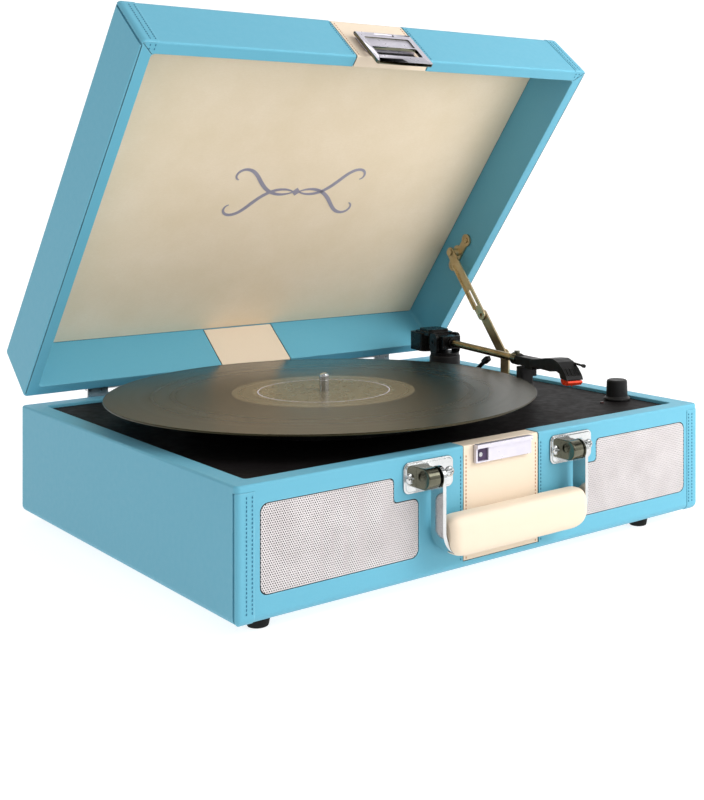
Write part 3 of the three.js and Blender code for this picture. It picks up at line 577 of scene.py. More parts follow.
MATERIALS = {
    # The last colour of each leatherette is painted shade for each groove and crease.
    "blue": leatherette("blue_leatherette", "60a9c0", "579fb6", "a2d8e5", "123c4b"),
    "cream": leatherette("cream_leatherette", "e1d0ba", "d9c6ac", "f0e6d6", "8a7460"),
    "lining": lining_cloth(),
    "chrome": metal("chrome", "dcdede", "cbcdcd", 0.1, 0.22, scratch=0.08),
    # A darker, olive copy of the chrome. On the hasp's side and lower faces it is painted shade.
    "dark_chrome": metal("dark_chrome", "7d7c6c", "5f5e50", 0.1, 0.22),
    "bright": metal("bright_plate", "dedae4", "d2ceda", 0.26, 0.36, scratch=0.01, metallic=0.6),
    "foil": metal("silver_foil", "a9a5b4", "9995a6", 0.35, 0.5, scratch=0.05, metallic=0.15),
    "steel": metal("steel", "cfd1d3", "b6b8ba", 0.24, 0.42, (1, 12, 1), 0.3),
    "brass": metal("brass", "dfcda8", "c2ac84", 0.3, 0.46, (1, 6, 1), 0.3),
    "tube": metal("tube_brass", "b5a077", "8c7850", 0.22, 0.36, (0.2, 6, 6), 0.3),
    "grille": perforated_metal(),
    "violet": plastic("violet_shadow", "382a45", "463555", 0.3, 0.4),
    "cloth": plastic("speaker_cloth", "343231", "403e3c", 0.8, 0.95, 2600, 0.0002, 0.8),
    "black": plastic("black_plastic", "0c0b0b", "121111", 0.34, 0.48, shine=0.2),
    "deck": plastic("deck_black", "151212", "1a1717", 0.55, 0.68, 1100, 0.00007, 0.3, 0.1),
    "gloss": plastic("gloss_black", "0d0c0b", "131211", 0.2, 0.32, 1800, 0.00003, 0.2, 0.16),
    "grey": plastic("grey_plastic", "1b1a1a", "212020", 0.4, 0.54, shine=0.25),
    "rubber": plastic("black_rubber", "101010", "181817", 0.75, 0.92, 900, 0.00012, 0.5),
    "red": plastic("red_plastic", "e8401c", "d6360f", 0.25, 0.38),
    "led": plastic("led_red", "3a0f0b", "2a0a08", 0.1, 0.2),
    "cone": plastic("speaker_cone", "1a1a1a", "232323", 0.7, 0.85, 700, 0.0002, 0.6),
    "board": plastic("board", "2f6b45", "265a39", 0.4, 0.55),
    "blue_thread": thread("blue_thread", "1f6a86", "3684a0"),
    "cream_thread": thread("cream_thread", "b98768", "d0a283"),
}
SLOTS = {
    "blue": "blue_leatherette", "cream": "cream_leatherette", "lining": "lining", "grille": "grille",
    "grey": "grey_plastic", "rubber": "black_rubber",
}
for group, slot_name in (
    ("chrome dark_chrome bright foil steel", "chrome"),
    ("black deck gloss violet cloth", "black_plastic"),
    ("brass tube", "brass"),
    ("red led", "red_plastic"),
):
    SLOTS.update(dict.fromkeys(group.split(), slot_name))


# ---- finishing a piece ----
def finished(name, made, body, finish, replaced=(), place=BASE, slot=None, bevel=0.0, segments=3, angle=35):
    """Rounds edges, evens normals, turns to metres, gives finishes and hangs the piece on its body."""
    made.name = name
    if bevel:
        edge = made.modifiers.new("bevel", "BEVEL")
        edge.width = bevel
        edge.segments = segments
        edge.limit_method = "ANGLE"
        edge.angle_limit = math.radians(angle)
        edge.miter_outer = "MITER_ARC"
    else:
        made.data.set_sharp_from_angle(angle=math.radians(angle))
    even = made.modifiers.new("normals", "WEIGHTED_NORMAL")
    even.keep_sharp = True
    even.weight = 100
    bake(made)
    made.data.name = name
    made.data.transform(Matrix.Scale(MM, 4))
    made.matrix_world = place
    finishes = finish if isinstance(finish, list) else [finish]
    made.data.materials.clear()
    for each in finishes:
        made.data.materials.append(MATERIALS.get(each, each))
    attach(made, body)
    if replaced:
        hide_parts(*replaced)
    slot = slot or SLOTS.get(finishes[0])
    return made


def refinish(node, finish):
    """A CAD piece keeps its shape and gets a finish."""
    piece = NODES[node]
    piece.data.materials.clear()
    piece.data.materials.append(MATERIALS[finish])
    return piece


# ---- the case ----
def seam_grooves(z_low, z_high):
    """An upright groove on each side wall, where a corner strip is tucked in."""
    made = []
    for side in (-1, 1):
        wall = side * HALF_W
        x0, x1 = sorted((wall - side * SEAM_DEPTH, wall + side))
        made.append(block(x0, x1, SIDE_SEAM_Y - SEAM_W, SIDE_SEAM_Y, z_low, z_high))
    return made


def base_band_path(depth, sink, sign, end):
    """Up a wall's face, over the rim and down inside."""
    low = EDGE_R + end
    face = BACK - sink
    inner = BACK - RIM_T + sink
    top = BASE_H - sink
    floor = DECK_TOP + GAP + end
    r = max(RIM_R - sink, 0.2)
    points = [(face, low)]
    points += arc(face - r, top - r, r, 0, 90, 6)
    points += arc(inner + 1, top - 1, 1, 90, 180, 4)
    points += [(inner, floor), (inner + depth, floor)]
    r2 = max(r - depth, 0.05)
    points += arc(inner + 1.05, top - depth - 0.05, 0.05, 180, 90, 2)
    points += arc(face - depth - r2, top - depth - r2, r2, 90, 0, 5)
    points += [(face - depth, low)]
    return [(sign * y, z) for y, z in points]


def grille_outline(side, grow):
    """A speaker panel's outline, with its upper inner corner notched for the handle bracket."""
    low, high = span("speaker_grille_left")
    outer = -low.x + grow
    inner = -high.x - grow
    notch_x = inner + NOTCH_W
    notch_z = low.z + NOTCH_H + grow
    bottom = low.z - grow
    top = high.z + grow
    corners = [(outer, bottom), (outer, top), (notch_x, top)]
    corners += [(notch_x, notch_z), (inner, notch_z), (inner, bottom)]
    return rounded([(side * x, z) for x, z in corners], [5, 5, 3, 2.5, 4, 5])


def rolled(shell, half):
    """Rounds the leatherette's two turned edges beside the cream band."""
    bm = bmesh.new()
    bm.from_mesh(shell.data)
    weight = bm.edges.layers.float.new("bevel_weight_edge")
    for edge in bm.edges:
        beside = all(abs(abs(vertex.co.x) - half) < 0.01 for vertex in edge.verts)
        if beside and edge.is_convex and edge.calc_face_angle(0) > ROLL_ANGLE:
            edge[weight] = 1.0
    bm.to_mesh(shell.data)
    bm.free()
    roll = shell.modifiers.new("roll", "BEVEL")
    roll.width = 0.6
    roll.segments = 3
    roll.limit_method = "WEIGHT"
    return bake(shell)


def case_shell():
    levels = turned_edge(EDGE_R, 0, 1, 8)
    levels += reversed(turned_edge(RIM_R, BASE_H, -1, 6))
    rows = [ring(inset, z, corner) for inset, z, corner, _ in levels]
    rows += [ring(RIM_T - 1, BASE_H, 3), ring(RIM_T - 0.3, BASE_H - 0.3, 3), ring(RIM_T, BASE_H - 1, 3)]
    rows += [ring(RIM_T, DECK_LOW - GAP, 3), ring(LEDGE_T, DECK_LOW - GAP, 3), ring(LEDGE_T, FLOOR_T, 3)]
    shell = skin(rows)
    half = BAND_HALF + BAND_GAP
    cuts = [prism(base_band_path(CHANNEL_T, -2, sign, 0), "x", -half, half) for sign in (-1, 1)]
    speaker = middle("speaker_right")
    for side in (-1, 1):
        cuts.append(prism(grille_outline(side, 0.5), "y", FRONT - 1, FRONT + 1.6))
        cuts.append(rod("y", (side * speaker.x, speaker.z), 22, FRONT + 1, FRONT + 22))
    cuts += seam_grooves(-2, PANEL_TOP)
    cover = span("bottom_cover")[1]
    w, d = cover.x, cover.y
    cuts.append(prism(rectangle(-w - GAP, w + GAP, -d - GAP, d + GAP, 6), "z", -1, cover.z + GAP))
    cuts.append(prism(rectangle(-w + 6, w - 6, -d + 6, d - 6, 4), "z", -1, FLOOR_T + 1))
    jack_low, jack_high = span("jack_panel")
    x0, x1 = jack_low.x - GAP, jack_high.x + GAP
    cuts.append(block(x0, x1, BACK - LEDGE_T - 1, BACK + 1, jack_low.z - GAP, jack_high.z + GAP))
    rolled(cut(shell, *cuts), half)
    finished("case_shell", shell, "case", "blue", ["base_case"])


def corner_row(inset, z, corner, tilt, side, rise):
    """Points of a strip round a front corner at one level, raised along the surface's normal."""
    r = max(corner, 0.5)
    flat = math.sqrt(max(0.0, 1 - tilt * tilt))
    x_face = HALF_W - inset
    cx = x_face - r
    cy = FRONT + inset + r
    points = []
    start = math.asin(min(1, (FRONT + CORNER_R - SIDE_SEAM_Y + SEAM_W) / CORNER_R))
    for i in range(9):
        a = -start - (math.pi / 2 - start) * i / 8
        points.append((cx + r * math.cos(a), cy + r * math.sin(a), math.cos(a), math.sin(a)))
    points += [(cx - 0.5, cy - r, 0, -1), (SEAM_X, cy - r, 0, -1)]
    out = rise * flat
    return [(side * (x + out * nx), y + out * ny, z + rise * tilt) for x, y, nx, ny in points]


def corner_strips(part, levels, body, place=BASE):
    """Leatherette strips sewn over the front corners, a little proud of the wall and sunk into it."""
    for side, word in ((-1, "left"), (1, "right")):
        rows = [corner_row(*level, side, PROUD) + corner_row(*level, side, SUNK)[::-1] for level in levels]
        name = f"{part}_corner_strip_{word}"
        finished(name, skin(rows), body, "blue", (), place, bevel=0.16, segments=2, angle=50)


def base_corner_strips():
    levels = turned_edge(EDGE_R, 0, 1, 8)[1:]
    levels.append((0, PANEL_TOP - 0.2, CORNER_R, 0))
    corner_strips("case", levels, "case")


def stitch(start, end, width, height, lift):
    """One stitch from start to end: a low loaf of thread. lift is the surface's outward normal."""
    along = (end - start).normalized()
    across = along.cross(lift).normalized()
    rows = []
    for share, size in ((0, 0.35), (0.12, 0.8), (0.5, 1.0), (0.88, 0.8), (1, 0.35)):
        centre = start.lerp(end, share) + lift * (height * (size - 0.75))
        row = []
        for i in range(8):
            a = i * math.pi / 4
            side = across * (width / 2 * size * math.cos(a))
            row.append(centre + side + lift * (height * size * math.sin(a)))
        rows.append(row)
    return rows


def stitch_rows(name, runs, body, thread_finish, place=BASE):
    """Each run is (start, end, outward normal). All its stitches share one mesh."""
    bm = bmesh.new()
    for start, end, lift in runs:
        start, end, lift = Vector(start), Vector(end), Vector(lift)
        count = int((end - start).length / STITCH_PITCH)
        step = (end - start) / count
        for i in range(count):
            first = start + step * i
            loft(bm, stitch(first, first + step.normalized() * STITCH_L, STITCH_W, STITCH_H, lift))
    finished(name, solid(bm), body, thread_finish, place=place, angle=80)


def base_stitching():
    out = (0, -1, 0)
    low, high = EDGE_R + 1, PANEL_TOP - 1.5
    strip_y = FRONT - PROUD
    runs = [((x, strip_y, low), (x, strip_y, high), out) for x in SEAM_ROWS]
    runs += [((x, FRONT, low), (x, FRONT, high), out) for x in (-BESIDE_BAND, BESIDE_BAND)]
    stitch_rows("case_seam_stitches", runs, "case", "blue_thread")
    band_y = span("front_band")[0].y
    runs = [((x, band_y, low), (x, band_y, high), out) for x in (-ALONG_BAND, ALONG_BAND)]
    stitch_rows("band_stitches", runs, "case", "cream_thread")


def base_bands():
    for sign, node in ((-1, "front_band"), (1, "rear_band")):
        band = prism(base_band_path(BAND_T, 0.3, sign, GAP), "x", -BAND_HALF, BAND_HALF)
        finished(f"cream_{node}", band, "case", "cream", [node], bevel=0.2, segments=2)


def deck():
    edge = refinish("deck_plate", "deck").modifiers.new("bevel", "BEVEL")
    edge.width = 0.35 * MM
    edge.segments = 2
    edge.limit_method = "ANGLE"


def perforated_sheet(side):
    """Round holes in staggered rows: each sits in a six-sided cell that shares its rim."""
    low, high = span("speaker_grille_left")
    margin = HOLE_PITCH
    rise = HOLE_PITCH * math.sqrt(3) / 2
    rim_r = HOLE_PITCH / math.sqrt(3)
    first_x = -high.x - margin
    columns = int((high.x - low.x + 2 * margin) / HOLE_PITCH) + 1
    rows = int((high.z - low.z + 2 * margin) / rise) + 1
    notch_x = -high.x + NOTCH_W - 2 * margin
    notch_z = low.z + NOTCH_H + 2 * margin
    bm = bmesh.new()
    shared = {}

    def rim(x, z):
        key = (round(x * 50), round(z * 50))
        if key not in shared:
            shared[key] = bm.verts.new((side * x, low.y, z))
        return shared[key]

    for row in range(rows):
        z = low.z - margin + row * rise
        for column in range(columns):
            x = first_x + (column + (row % 2) / 2) * HOLE_PITCH
            if x < notch_x and z > notch_z:
                continue
            outer, inner = [], []
            for k in range(6):
                a = math.radians(30 + 60 * k)
                c, d = math.cos(a), math.sin(a)
                outer.append(rim(x + rim_r * c, z + rim_r * d))
                inner.append(bm.verts.new((side * (x + HOLE_R * c), low.y, z + HOLE_R * d)))
            for k in range(6):
                m = (k + 1) % 6
                bm.faces.new((outer[k], outer[m], inner[m], inner[k]))
    return bm


def grilles():
    low, high = span("speaker_grille_left")
    for side, word in ((-1, "left"), (1, "right")):
        sheet = solid(perforated_sheet(side))
        thick = sheet.modifiers.new("thickness", "SOLIDIFY")
        thick.thickness = 0.5
        thick.offset = 0
        bake(sheet)
        outline = prism(grille_outline(side, -0.1), "y", low.y - 2, high.y + 2)
        combine(sheet, [outline], "INTERSECT")
        node = f"speaker_grille_{word}"
        finished(f"grille_{word}", sheet, "case", "grille", [node], angle=50)
        cloth = prism(grille_outline(side, 0.2), "y", high.y - 0.3, high.y + 0.2)
        finished(f"grille_cloth_{word}", cloth, "case", "cloth")


# ---- the lid, drawn shut ----
def lid_band_path(depth, sink, end):
    """From inside the front rim, over the shut lid and down inside the rear rim."""
    out = BACK - sink
    inn = BACK - LID_T + sink
    low = LID_LOW.z + sink
    top = LID_HIGH.z
    lip = LID_LOW.z + 4 - end
    roof = span("lid_lining", LID)[0].z - GAP - end
    r = EDGE_R - sink
    rim = max(RIM_R - sink, 0.2)
    thin = max(rim - depth, 0.1)

    def edges(sign, out_y, r_top, r_rim, z_low):
        wall = arc(sign * (out_y - r_rim), z_low + r_rim, r_rim, -90, -90 + sign * 90, 5)
        head = arc(sign * (BACK - EDGE_R), top - EDGE_R, r_top, 90 - sign * 90, 90, 8)
        return wall + head

    points = [(-inn, lip), (-inn, low)]
    points += edges(-1, out, r, rim, low)
    points += edges(1, out, r, rim, low)[::-1]
    points += [(inn, low), (inn, roof), (inn + depth, roof), (inn + depth, low + depth)]
    points += edges(1, out - depth, r - depth, thin, low + depth)
    points += edges(-1, out - depth, r - depth, thin, low + depth)[::-1]
    points += [(-(inn + depth), low + depth), (-(inn + depth), lip)]
    return points


def lid_levels():
    top = LID_HIGH.z
    levels = turned_edge(EDGE_R, top, -1, 8)
    levels += reversed(turned_edge(RIM_R, LID_LOW.z, 1, 6))
    return levels


def mitre(side, low):
    """A fold line across the lid's rim, from the outer corner to the lining's corner."""
    line = block(0.8, LID_T * math.sqrt(2) - 1, -0.3, 0.3, low - 1, low + 0.6)
    return placed(line, (side * (HALF_W - 0.6), FRONT + 0.6, 0), 90 + side * 45, "Z")


def lid_shell():
    low, top = LID_LOW.z, LID_HIGH.z
    rows = [ring(inset, z, corner) for inset, z, corner, _ in lid_levels()]
    rows += [ring(LID_T - 1, low, 3), ring(LID_T - 0.3, low + 0.3, 3), ring(LID_T, low + 1, 3)]
    rows += [ring(LID_T, top - LID_TOP_T, 3)]
    shell = skin(rows)
    half = BAND_HALF + BAND_GAP
    cuts = [prism(lid_band_path(CHANNEL_T, -2, 0), "x", -half, half), *seam_grooves(low - 2, top + 2)]
    for side in (-1, 1):
        x = side * (HALF_W - 1.2)
        cuts.append(block(x - 0.35, x + 0.35, FRONT + CORNER_R, BACK - CORNER_R, low - 1, low + 0.8))
        cuts.append(mitre(side, low))
    rolled(cut(shell, *cuts), half)
    finished("lid_case", shell, "lid", "blue", ["lid_shell"], LID)


def lid_corner_strips():
    corner_strips("lid", lid_levels()[1:-2], "lid", LID)


def lid_stitching():
    out = (0, -1, 0)
    low, high = LID_LOW.z + RIM_R + 0.6, LID_HIGH.z - EDGE_R - 0.6
    runs = [((x, FRONT - 0.4, low), (x, FRONT - 0.4, high), out) for x in SEAM_ROWS]
    under = (0, 0, -1)
    rim_z = LID_LOW.z
    runs += [((x, FRONT + RIM_R + 0.4, rim_z), (x, FRONT + LID_T - 1.8, rim_z), under) for x in SEAM_ROWS]
    runs += [((x, FRONT, low), (x, FRONT, high), out) for x in (-BESIDE_BAND, BESIDE_BAND)]
    top_z = LID_HIGH.z
    ends = FRONT + 8, BACK - 8
    for x in (-BESIDE_BAND, BESIDE_BAND):
        runs.append(((x, ends[0], top_z), (x, ends[1], top_z), (0, 0, 1)))
    stitch_rows("lid_seam_stitches", runs, "lid", "blue_thread", LID)
    y, z = FRONT + 0.3, LID_HIGH.z - 0.3
    runs = [((x, y, low), (x, y, high), out) for x in (-ALONG_BAND, ALONG_BAND)]
    runs += [((x, ends[0], z), (x, ends[1], z), (0, 0, 1)) for x in (-ALONG_BAND, ALONG_BAND)]
    stitch_rows("lid_band_stitches", runs, "lid", "cream_thread", LID)


def lid_band():
    band = prism(lid_band_path(BAND_T, 0.3, GAP), "x", -BAND_HALF, BAND_HALF)
    finished("cream_lid_band", band, "lid", "cream", ["lid_band"], LID, bevel=0.2, segments=2)


def lid_lining():
    """Lining board: a sheet glued into the lid, with a softly rolled edge."""
    low, high = span("lid_lining", LID)
    bm = bmesh.new()
    nx, ny = 60, 48
    rows = []
    for j in range(ny + 1):
        for i in range(nx + 1):
            x = low.x + 0.2 + (high.x - low.x - 0.4) * i / nx
            y = low.y + 0.2 + (high.y - low.y - 0.4) * j / ny
            wave = noise.noise(Vector((x * 0.02, y * 0.02, 3.0))) * 0.12
            inset = min(x - low.x, high.x - x, y - low.y, high.y - y)
            roll = 0.5 * math.exp(-inset / 2.5)
            rows.append(bm.verts.new((x, y, low.z + 0.25 + wave + roll)))
    for j in range(ny):
        for i in range(nx):
            a = j * (nx + 1) + i
            bm.faces.new((rows[a], rows[a + 1], rows[a + nx + 2], rows[a + nx + 1]))
    sheet = solid(bm)
    thick = sheet.modifiers.new("thickness", "SOLIDIFY")
    thick.thickness = -0.8
    thick.offset = 1
    finished("lid_lining_board", sheet, "lid", "lining", ["lid_lining"], LID)


def scroll(side, up):
    """Centre line of one curl: its bend tightens from the middle outwards."""
    length = 74.0
    steps = 90
    x, y, heading = 2.5, 0.0, 0.5
    points = []
    for i in range(steps + 1):
        share = i / steps
        points.append((side * x, up * y, 0.45 + 1.15 * math.sin(math.pi * share) ** 0.7))
        heading += (-0.045 + 0.33 * share ** 3.2) * length / steps
        x += math.cos(heading) * length / steps
        y += math.sin(heading) * length / steps
    return points


def ribbon(points, z0, z1):
    """A thin flat band along a centre line of (x, y, half width)."""
    rows = []
    for i, (x, y, half) in enumerate(points):
        before, after = points[max(i - 1, 0)], points[min(i + 1, len(points) - 1)]
        along = Vector((after[0] - before[0], after[1] - before[1])).normalized()
        nx, ny = -along.y * half, along.x * half
        left, right = (x + nx, y + ny), (x - nx, y - ny)
        rows.append([(*left, z0), (*left, z1), (*right, z1), (*right, z0)])
    return skin(rows)


def lining_ornament():
    """A plain foil flourish in the middle of the lining: two mirrored curls and a lozenge, no letters."""
    front = span("lid_lining", LID)[0].z
    z0, z1 = front - 0.75, front + 0.5
    curls = [ribbon(scroll(side, up), z0, z1) for side in (-1, 1) for up in (-1, 1)]
    lozenge = prism([(-4, 0), (0, -4), (4, 0), (0, 4)], "z", z0, z1)
    join(lozenge, *curls)
    finished("lining_foil", lozenge, "lid", "foil", (), LID)


# ---- turntable ----
def record():
    low, high = span("vinyl_record")
    x, y = middle("vinyl_record")[:2]
    r = (high.x - low.x) / 2
    z0, z1 = low.z, high.z
    bore = 3.65
    label = r * 0.3316
    music = z1 - 0.2
    lead_out = z1 - 0.12
    profile = [(bore, z0), (label, z0), (label + 0.6, z0 + 0.15), (r - 4, z0 + 0.15), (r - 3, z0)]
    profile += [(r - 0.8, z0)] + arc(r - 0.75, (z0 + z1) / 2, 0.75, -80, 80, 8)
    profile += [(r - 0.8, z1), (r - 2.6, z1 - 0.02), (r - 4, music), (r * 0.6, music)]
    profile += [(label + 13.4, music), (label + 13, lead_out), (label + 1.2, lead_out)]
    profile += [(label + 0.5, z1 - 0.02), (label, z1), (bore, z1)]
    centre = Vector((x * MM, y * MM, 0))
    looks = [vinyl(centre), label_paper(centre, label)]
    disc = lathe(profile, x, y, 192)
    made = finished("record_disc", disc, "turntable", looks, ["vinyl_record"], slot="vinyl", angle=28)
    for face in made.data.polygons:
        if (face.center - centre).xy.length < label * MM:
            face.material_index = 1


def turned_node(node, profile, body, finish, sides=96, name=None, angle=30):
    made = lathe(profile, *middle(node)[:2], sides)
    finished(name or f"{node}_turned", made, body, finish, [node], angle=angle)


def turntable():
    low, high = span("platter")
    r = (high.x - low.x) / 2
    bore, skirt, ring_out, ring_in, hub = 3.7, r - 2.5, 62, 59, 11
    top, under = high.z, high.z - 2.6
    profile = [(bore, top), (r - 1.2, top), (r - 0.4, top - 0.3), (r, top - 1.2), (r, low.z + 0.5)]
    profile += [(r - 0.5, low.z), (skirt, low.z), (skirt, under), (ring_out, under)]
    profile += [(ring_out, low.z + 0.8), (ring_in, low.z + 0.8), (ring_in, under), (hub, under)]
    profile += [(hub, low.z + 1), (bore, low.z + 1)]
    turned_node("platter", profile, "turntable", "gloss", 128)
    low, high = span("slipmat")
    r = (high.x - low.x) / 2
    profile = [(3.8, low.z), (r, low.z), (r, high.z), (3.8, high.z)]
    turned_node("slipmat", profile, "turntable", "rubber", 128)
    low, high = span("spindle")
    r = (high.x - low.x) / 2
    z = high.z
    profile = [(0, low.z), (r, low.z), (r, z - 5.2), (r - 0.15, z - 4.9), (r, z - 4.6), (r, z - 2.6)]
    profile += [(r * math.cos(a), z - 2.6 + 2.6 * math.sin(a)) for a in (0.35, 0.7, 1.05, 1.35)] + [(0, z)]
    turned_node("spindle", profile, "turntable", "chrome", 48)
    record()


def pulley():
    low, high = span("motor_pulley")
    z0, z1 = low.z, high.z
    profile = [(0, z0), (1, z0), (1, z1 - 9), (7, z1 - 9), (7, z1 - 7.9), (6, z1 - 7), (6, z1 - 1.4)]
    profile += [(6.8, z1 - 0.8), (6.8, z1 - 0.2), (6.6, z1), (0, z1)]
    turned_node("motor_pulley", profile, "pulley", "brass", 48)


# ---- controls ----
def knob():
    low, high = span("volume_knob")
    z, top = low.z, high.z
    r = (high.x - low.x) / 2
    profile = [(0, z), (r - 0.2, z), (r, z + 0.3), (r, z + 1.2), (r - 0.5, z + 1.7), (r - 1.7, z + 2.4)]
    profile += [(8.1, z + 3.2), (7.75, top - 1.5), (7.55, top - 0.8), (7.1, top - 0.25), (6.5, top)]
    profile += [(5.4, top - 0.15), (0, top - 0.25)]
    turned_node("volume_knob", profile, "knob", "grey", name="knob_cap", angle=40)


def led():
    low, high = span("power_led")
    z, top = low.z, high.z
    profile = [(0, z), (1.5, z), (1.5, top - 0.8), (1.4, top - 0.5), (1.0, top - 0.15), (0, top)]
    turned_node("power_led", profile, "case", "led", 32)


def feet():
    for node in ("foot_front_left", "foot_front_right", "foot_rear_left", "foot_rear_right"):
        low, high = span(node)
        z = low.z
        profile = [(0, z + 0.6), (3.4, z + 0.6), (4.2, z), (5.2, z), (5.9, z + 0.3), (6.25, z + 1)]
        turned_node(node, profile + [(7.2, high.z), (0, high.z)], "case", "rubber", 48)


# ---- carrying handle ----
def handle_brackets():
    for word in ("left", "right"):
        handle_bracket(f"handle_bracket_{word}")
        for letter in "ab":
            bracket_screw(f"bracket_screw_{word}_{letter}")


def handle_bracket(node):
    """A pressed plate with a raised pad, and the humped ear that holds the strap's pin."""
    low, high = span(node)
    axis_y, z = pivot("handle_swing")[1:]
    plate_x = (low.x + high.x) / 2
    strap_x = plate_x - 0.5
    plate = prism(rectangle(low.x, high.x, z - 9.5, z + 9.5, 4), "y", FRONT - 1.1, FRONT - GAP)
    pad = prism(rectangle(low.x + 1.3, high.x - 1.3, z - 8.2, z + 8.2, 2.8), "y", FRONT - 1.9, FRONT - 1)
    join(plate, pad)
    finished(f"{node}_plate", plate, "case", "chrome", [node], bevel=0.35)
    root, flank = FRONT - 1.6, axis_y + 2.5
    outline = [(root, z + EAR_R), (flank, z + EAR_R)] + arc(axis_y + 1, z, EAR_R, 100, 260, 14)
    outline += [(flank, z - EAR_R), (root, z - EAR_R)]
    hump = prism(outline, "x", strap_x - 9.8, strap_x - 1)
    pin = rod("x", (axis_y, z), 2.5, strap_x - 2, strap_x + 3)
    head = rod("x", (axis_y, z), 4.2, strap_x + 2.9, strap_x + 4.2)
    join(hump, pin, head)
    finished(f"{node}_plate_ear", hump, "case", "dark_chrome", bevel=0.8, segments=4)


def bracket_screw(node):
    low, high = span(node)
    x, z = middle(node).x, middle(node).z
    y0, y1 = low.y, high.y
    rows = []
    for radius, y in ((3.2, y1), (3.2, y1 - 0.3), (2.9, y1 - 0.9), (2.2, y0 + 0.25), (1.2, y0 + 0.02)):
        rows.append([(a, y, b) for a, b in circle(x, z, radius, 40)])
    head = skin(rows)
    slots = [block(x - a, x + a, y0 - 1, y0 + 1.1, z - b, z + b) for a, b in ((2, 0.45), (0.45, 2))]
    finished(f"{node}_head", cut(head, *slots), "case", "chrome", [node], bevel=0.08, segments=2)


def strap_outline(low, high, grow=0.0):
    """The strap's U, seen from the front: down one side, along the grip and up the other."""
    radius = 16 + grow
    x0, x1 = low.x - grow, high.x + grow
    z0 = low.z - grow
    z1 = pivot("handle_swing")[2]
    wall = STRAP_T + 2 * grow
    outer = [(x0, z1)] + arc(x0 + radius, z0 + radius, radius, 180, 270, 12)
    outer += arc(x1 - radius, z0 + radius, radius, 270, 360, 12) + [(x1, z1)]
    r = radius - wall
    inner = [(x1 - wall, z1)] + arc(x1 - radius, z0 + radius, r, 360, 270, 12)
    inner += arc(x0 + radius, z0 + radius, r, 270, 180, 12) + [(x0 + wall, z1)]
    return outer + inner


def handle_strap():
    low, high = span("handle_strap")
    y, z = pivot("handle_swing")[1:]
    bar = prism(strap_outline(low, high), "y", y - STRAP_HALF, y + STRAP_HALF)
    sides = ((low.x, low.x + STRAP_T), (high.x - STRAP_T, high.x))
    join(bar, *[rod("x", (y, z), 7, a, b, 64) for a, b in sides])
    cut(bar, *[rod("x", (y, z), 2.8, a - 1, b + 1) for a, b in sides])
    finished("handle_strap_bar", bar, "handle", "chrome", ["handle_strap"], bevel=0.5)


def handle_grip():
    """A padded, sewn grip: a crowned D in section, drawn in at its ends."""
    low, high = span("handle_grip")
    middle_y, middle_z = (low.y + high.y) / 2, (low.z + high.z) / 2
    half_y, half_z = (high.y - low.y) / 2, (high.z - low.z) / 2
    stations = 44
    around = 40
    rows = []
    for s in range(stations + 1):
        share = s / stations
        u = math.sin((share - 0.5) * math.pi)
        x = (low.x + high.x) / 2 + u * (high.x - low.x) / 2
        end = min(x - low.x, high.x - x)
        draw = 1 - max(0.0, 1 - end / 9) ** 2.6
        draw = max(draw, 0.0) ** 0.5 if s not in (0, stations) else 0.25
        lift = 13 * max(0.0, 1 - end / 15) ** 2.2
        row = []
        for k in range(around):
            a = 2 * math.pi * k / around
            c, d = math.cos(a), math.sin(a)
            power = 0.74
            py = math.copysign(abs(c) ** power, c) * half_y * (0.35 + 0.65 * draw)
            pz = math.copysign(abs(d) ** power, d) * half_z * (0.55 + 0.45 * draw)
            if d < 0:
                pz += lift * 0.55 * -d * 0.6
            soft = noise.noise(Vector((x * 0.09, c * 1.3, d * 1.3 + 7))) * 0.22
            row.append((x, middle_y + py * (1 + soft / half_y), middle_z + pz * (1 + soft / half_z)))
        rows.append(row)
    grip = skin(rows)
    y = pivot("handle_swing")[1]
    reach = STRAP_HALF + 0.25
    tunnel = prism(strap_outline(*span("handle_strap"), 0.25), "y", y - reach, y + reach)
    cut(grip, tunnel)
    finished("handle_grip_pad", grip, "handle", "cream", ["handle_grip"], angle=50)


# ---- latch ----
def latch_catch():
    low, high = span("latch_catch")
    x0, x1 = low.x, high.x
    plate = block(x0, x1, FRONT - 2.4, FRONT, low.z, high.z)
    lip = block(x0, x1, low.y, FRONT - 2.2, high.z - 2.6, high.z)
    window = block(x0 + 1.3, x0 + 10.2, FRONT - 5, FRONT - 1, low.z + 0.9, high.z - 2.4)
    made = cut(join(plate, lip), window)
    finished("latch_catch_plate", made, "case", "bright", ["latch_catch"], bevel=0.45)
    x, z = x0 + 4.2, (low.z + high.z) / 2 - 0.8
    stud = rod("y", (x, z), 1.4, FRONT - 1.9, FRONT - 0.9)
    cut(stud, block(x - 1.0, x + 1.0, FRONT - 2.5, FRONT - 1.6, z - 0.25, z + 0.25))
    finished("latch_catch_stud", stud, "case", "steel", bevel=0.15, segments=2)
    # Painted shadow: a dark violet sheet behind the window, where the recess lies in shade.
    back = block(x0 + 1.4, x0 + 10.1, FRONT - 1.15, FRONT - 0.85, low.z + 1, high.z - 2.5)
    finished("latch_catch_shade", back, "case", "violet", bevel=0.1, segments=2)


def latch_mount():
    low, high = span("latch_mount", LID)
    y, z = pivot("hasp_pivot", LID)[1:]
    plate = block(low.x, high.x, FRONT - 1.3, FRONT, low.z, z + 1.6)
    core = rod("x", (y, z), HASP_T / 2, -8, 8)
    web = block(-8, 8, y, FRONT - 1, z - 1.2, z + 1.2)
    pin = rod("x", (y, z), 0.75, -21, 21)
    made = join(plate, core, web, pin)
    finished("latch_mount_plate", made, "lid", "bright", ["latch_mount"], LID, bevel=0.3)
    # Painted shade: a dark sheet over the band, seen through the hasp's window where the recess lies in
    # shade.
    shade = block(low.x + 1, high.x - 1, FRONT - 0.4, FRONT + 0.6, LID_LOW.z + RIM_R, low.z - 0.1)
    finished("latch_mount_shade", shade, "lid", "gloss", (), LID, bevel=0.15, segments=2)


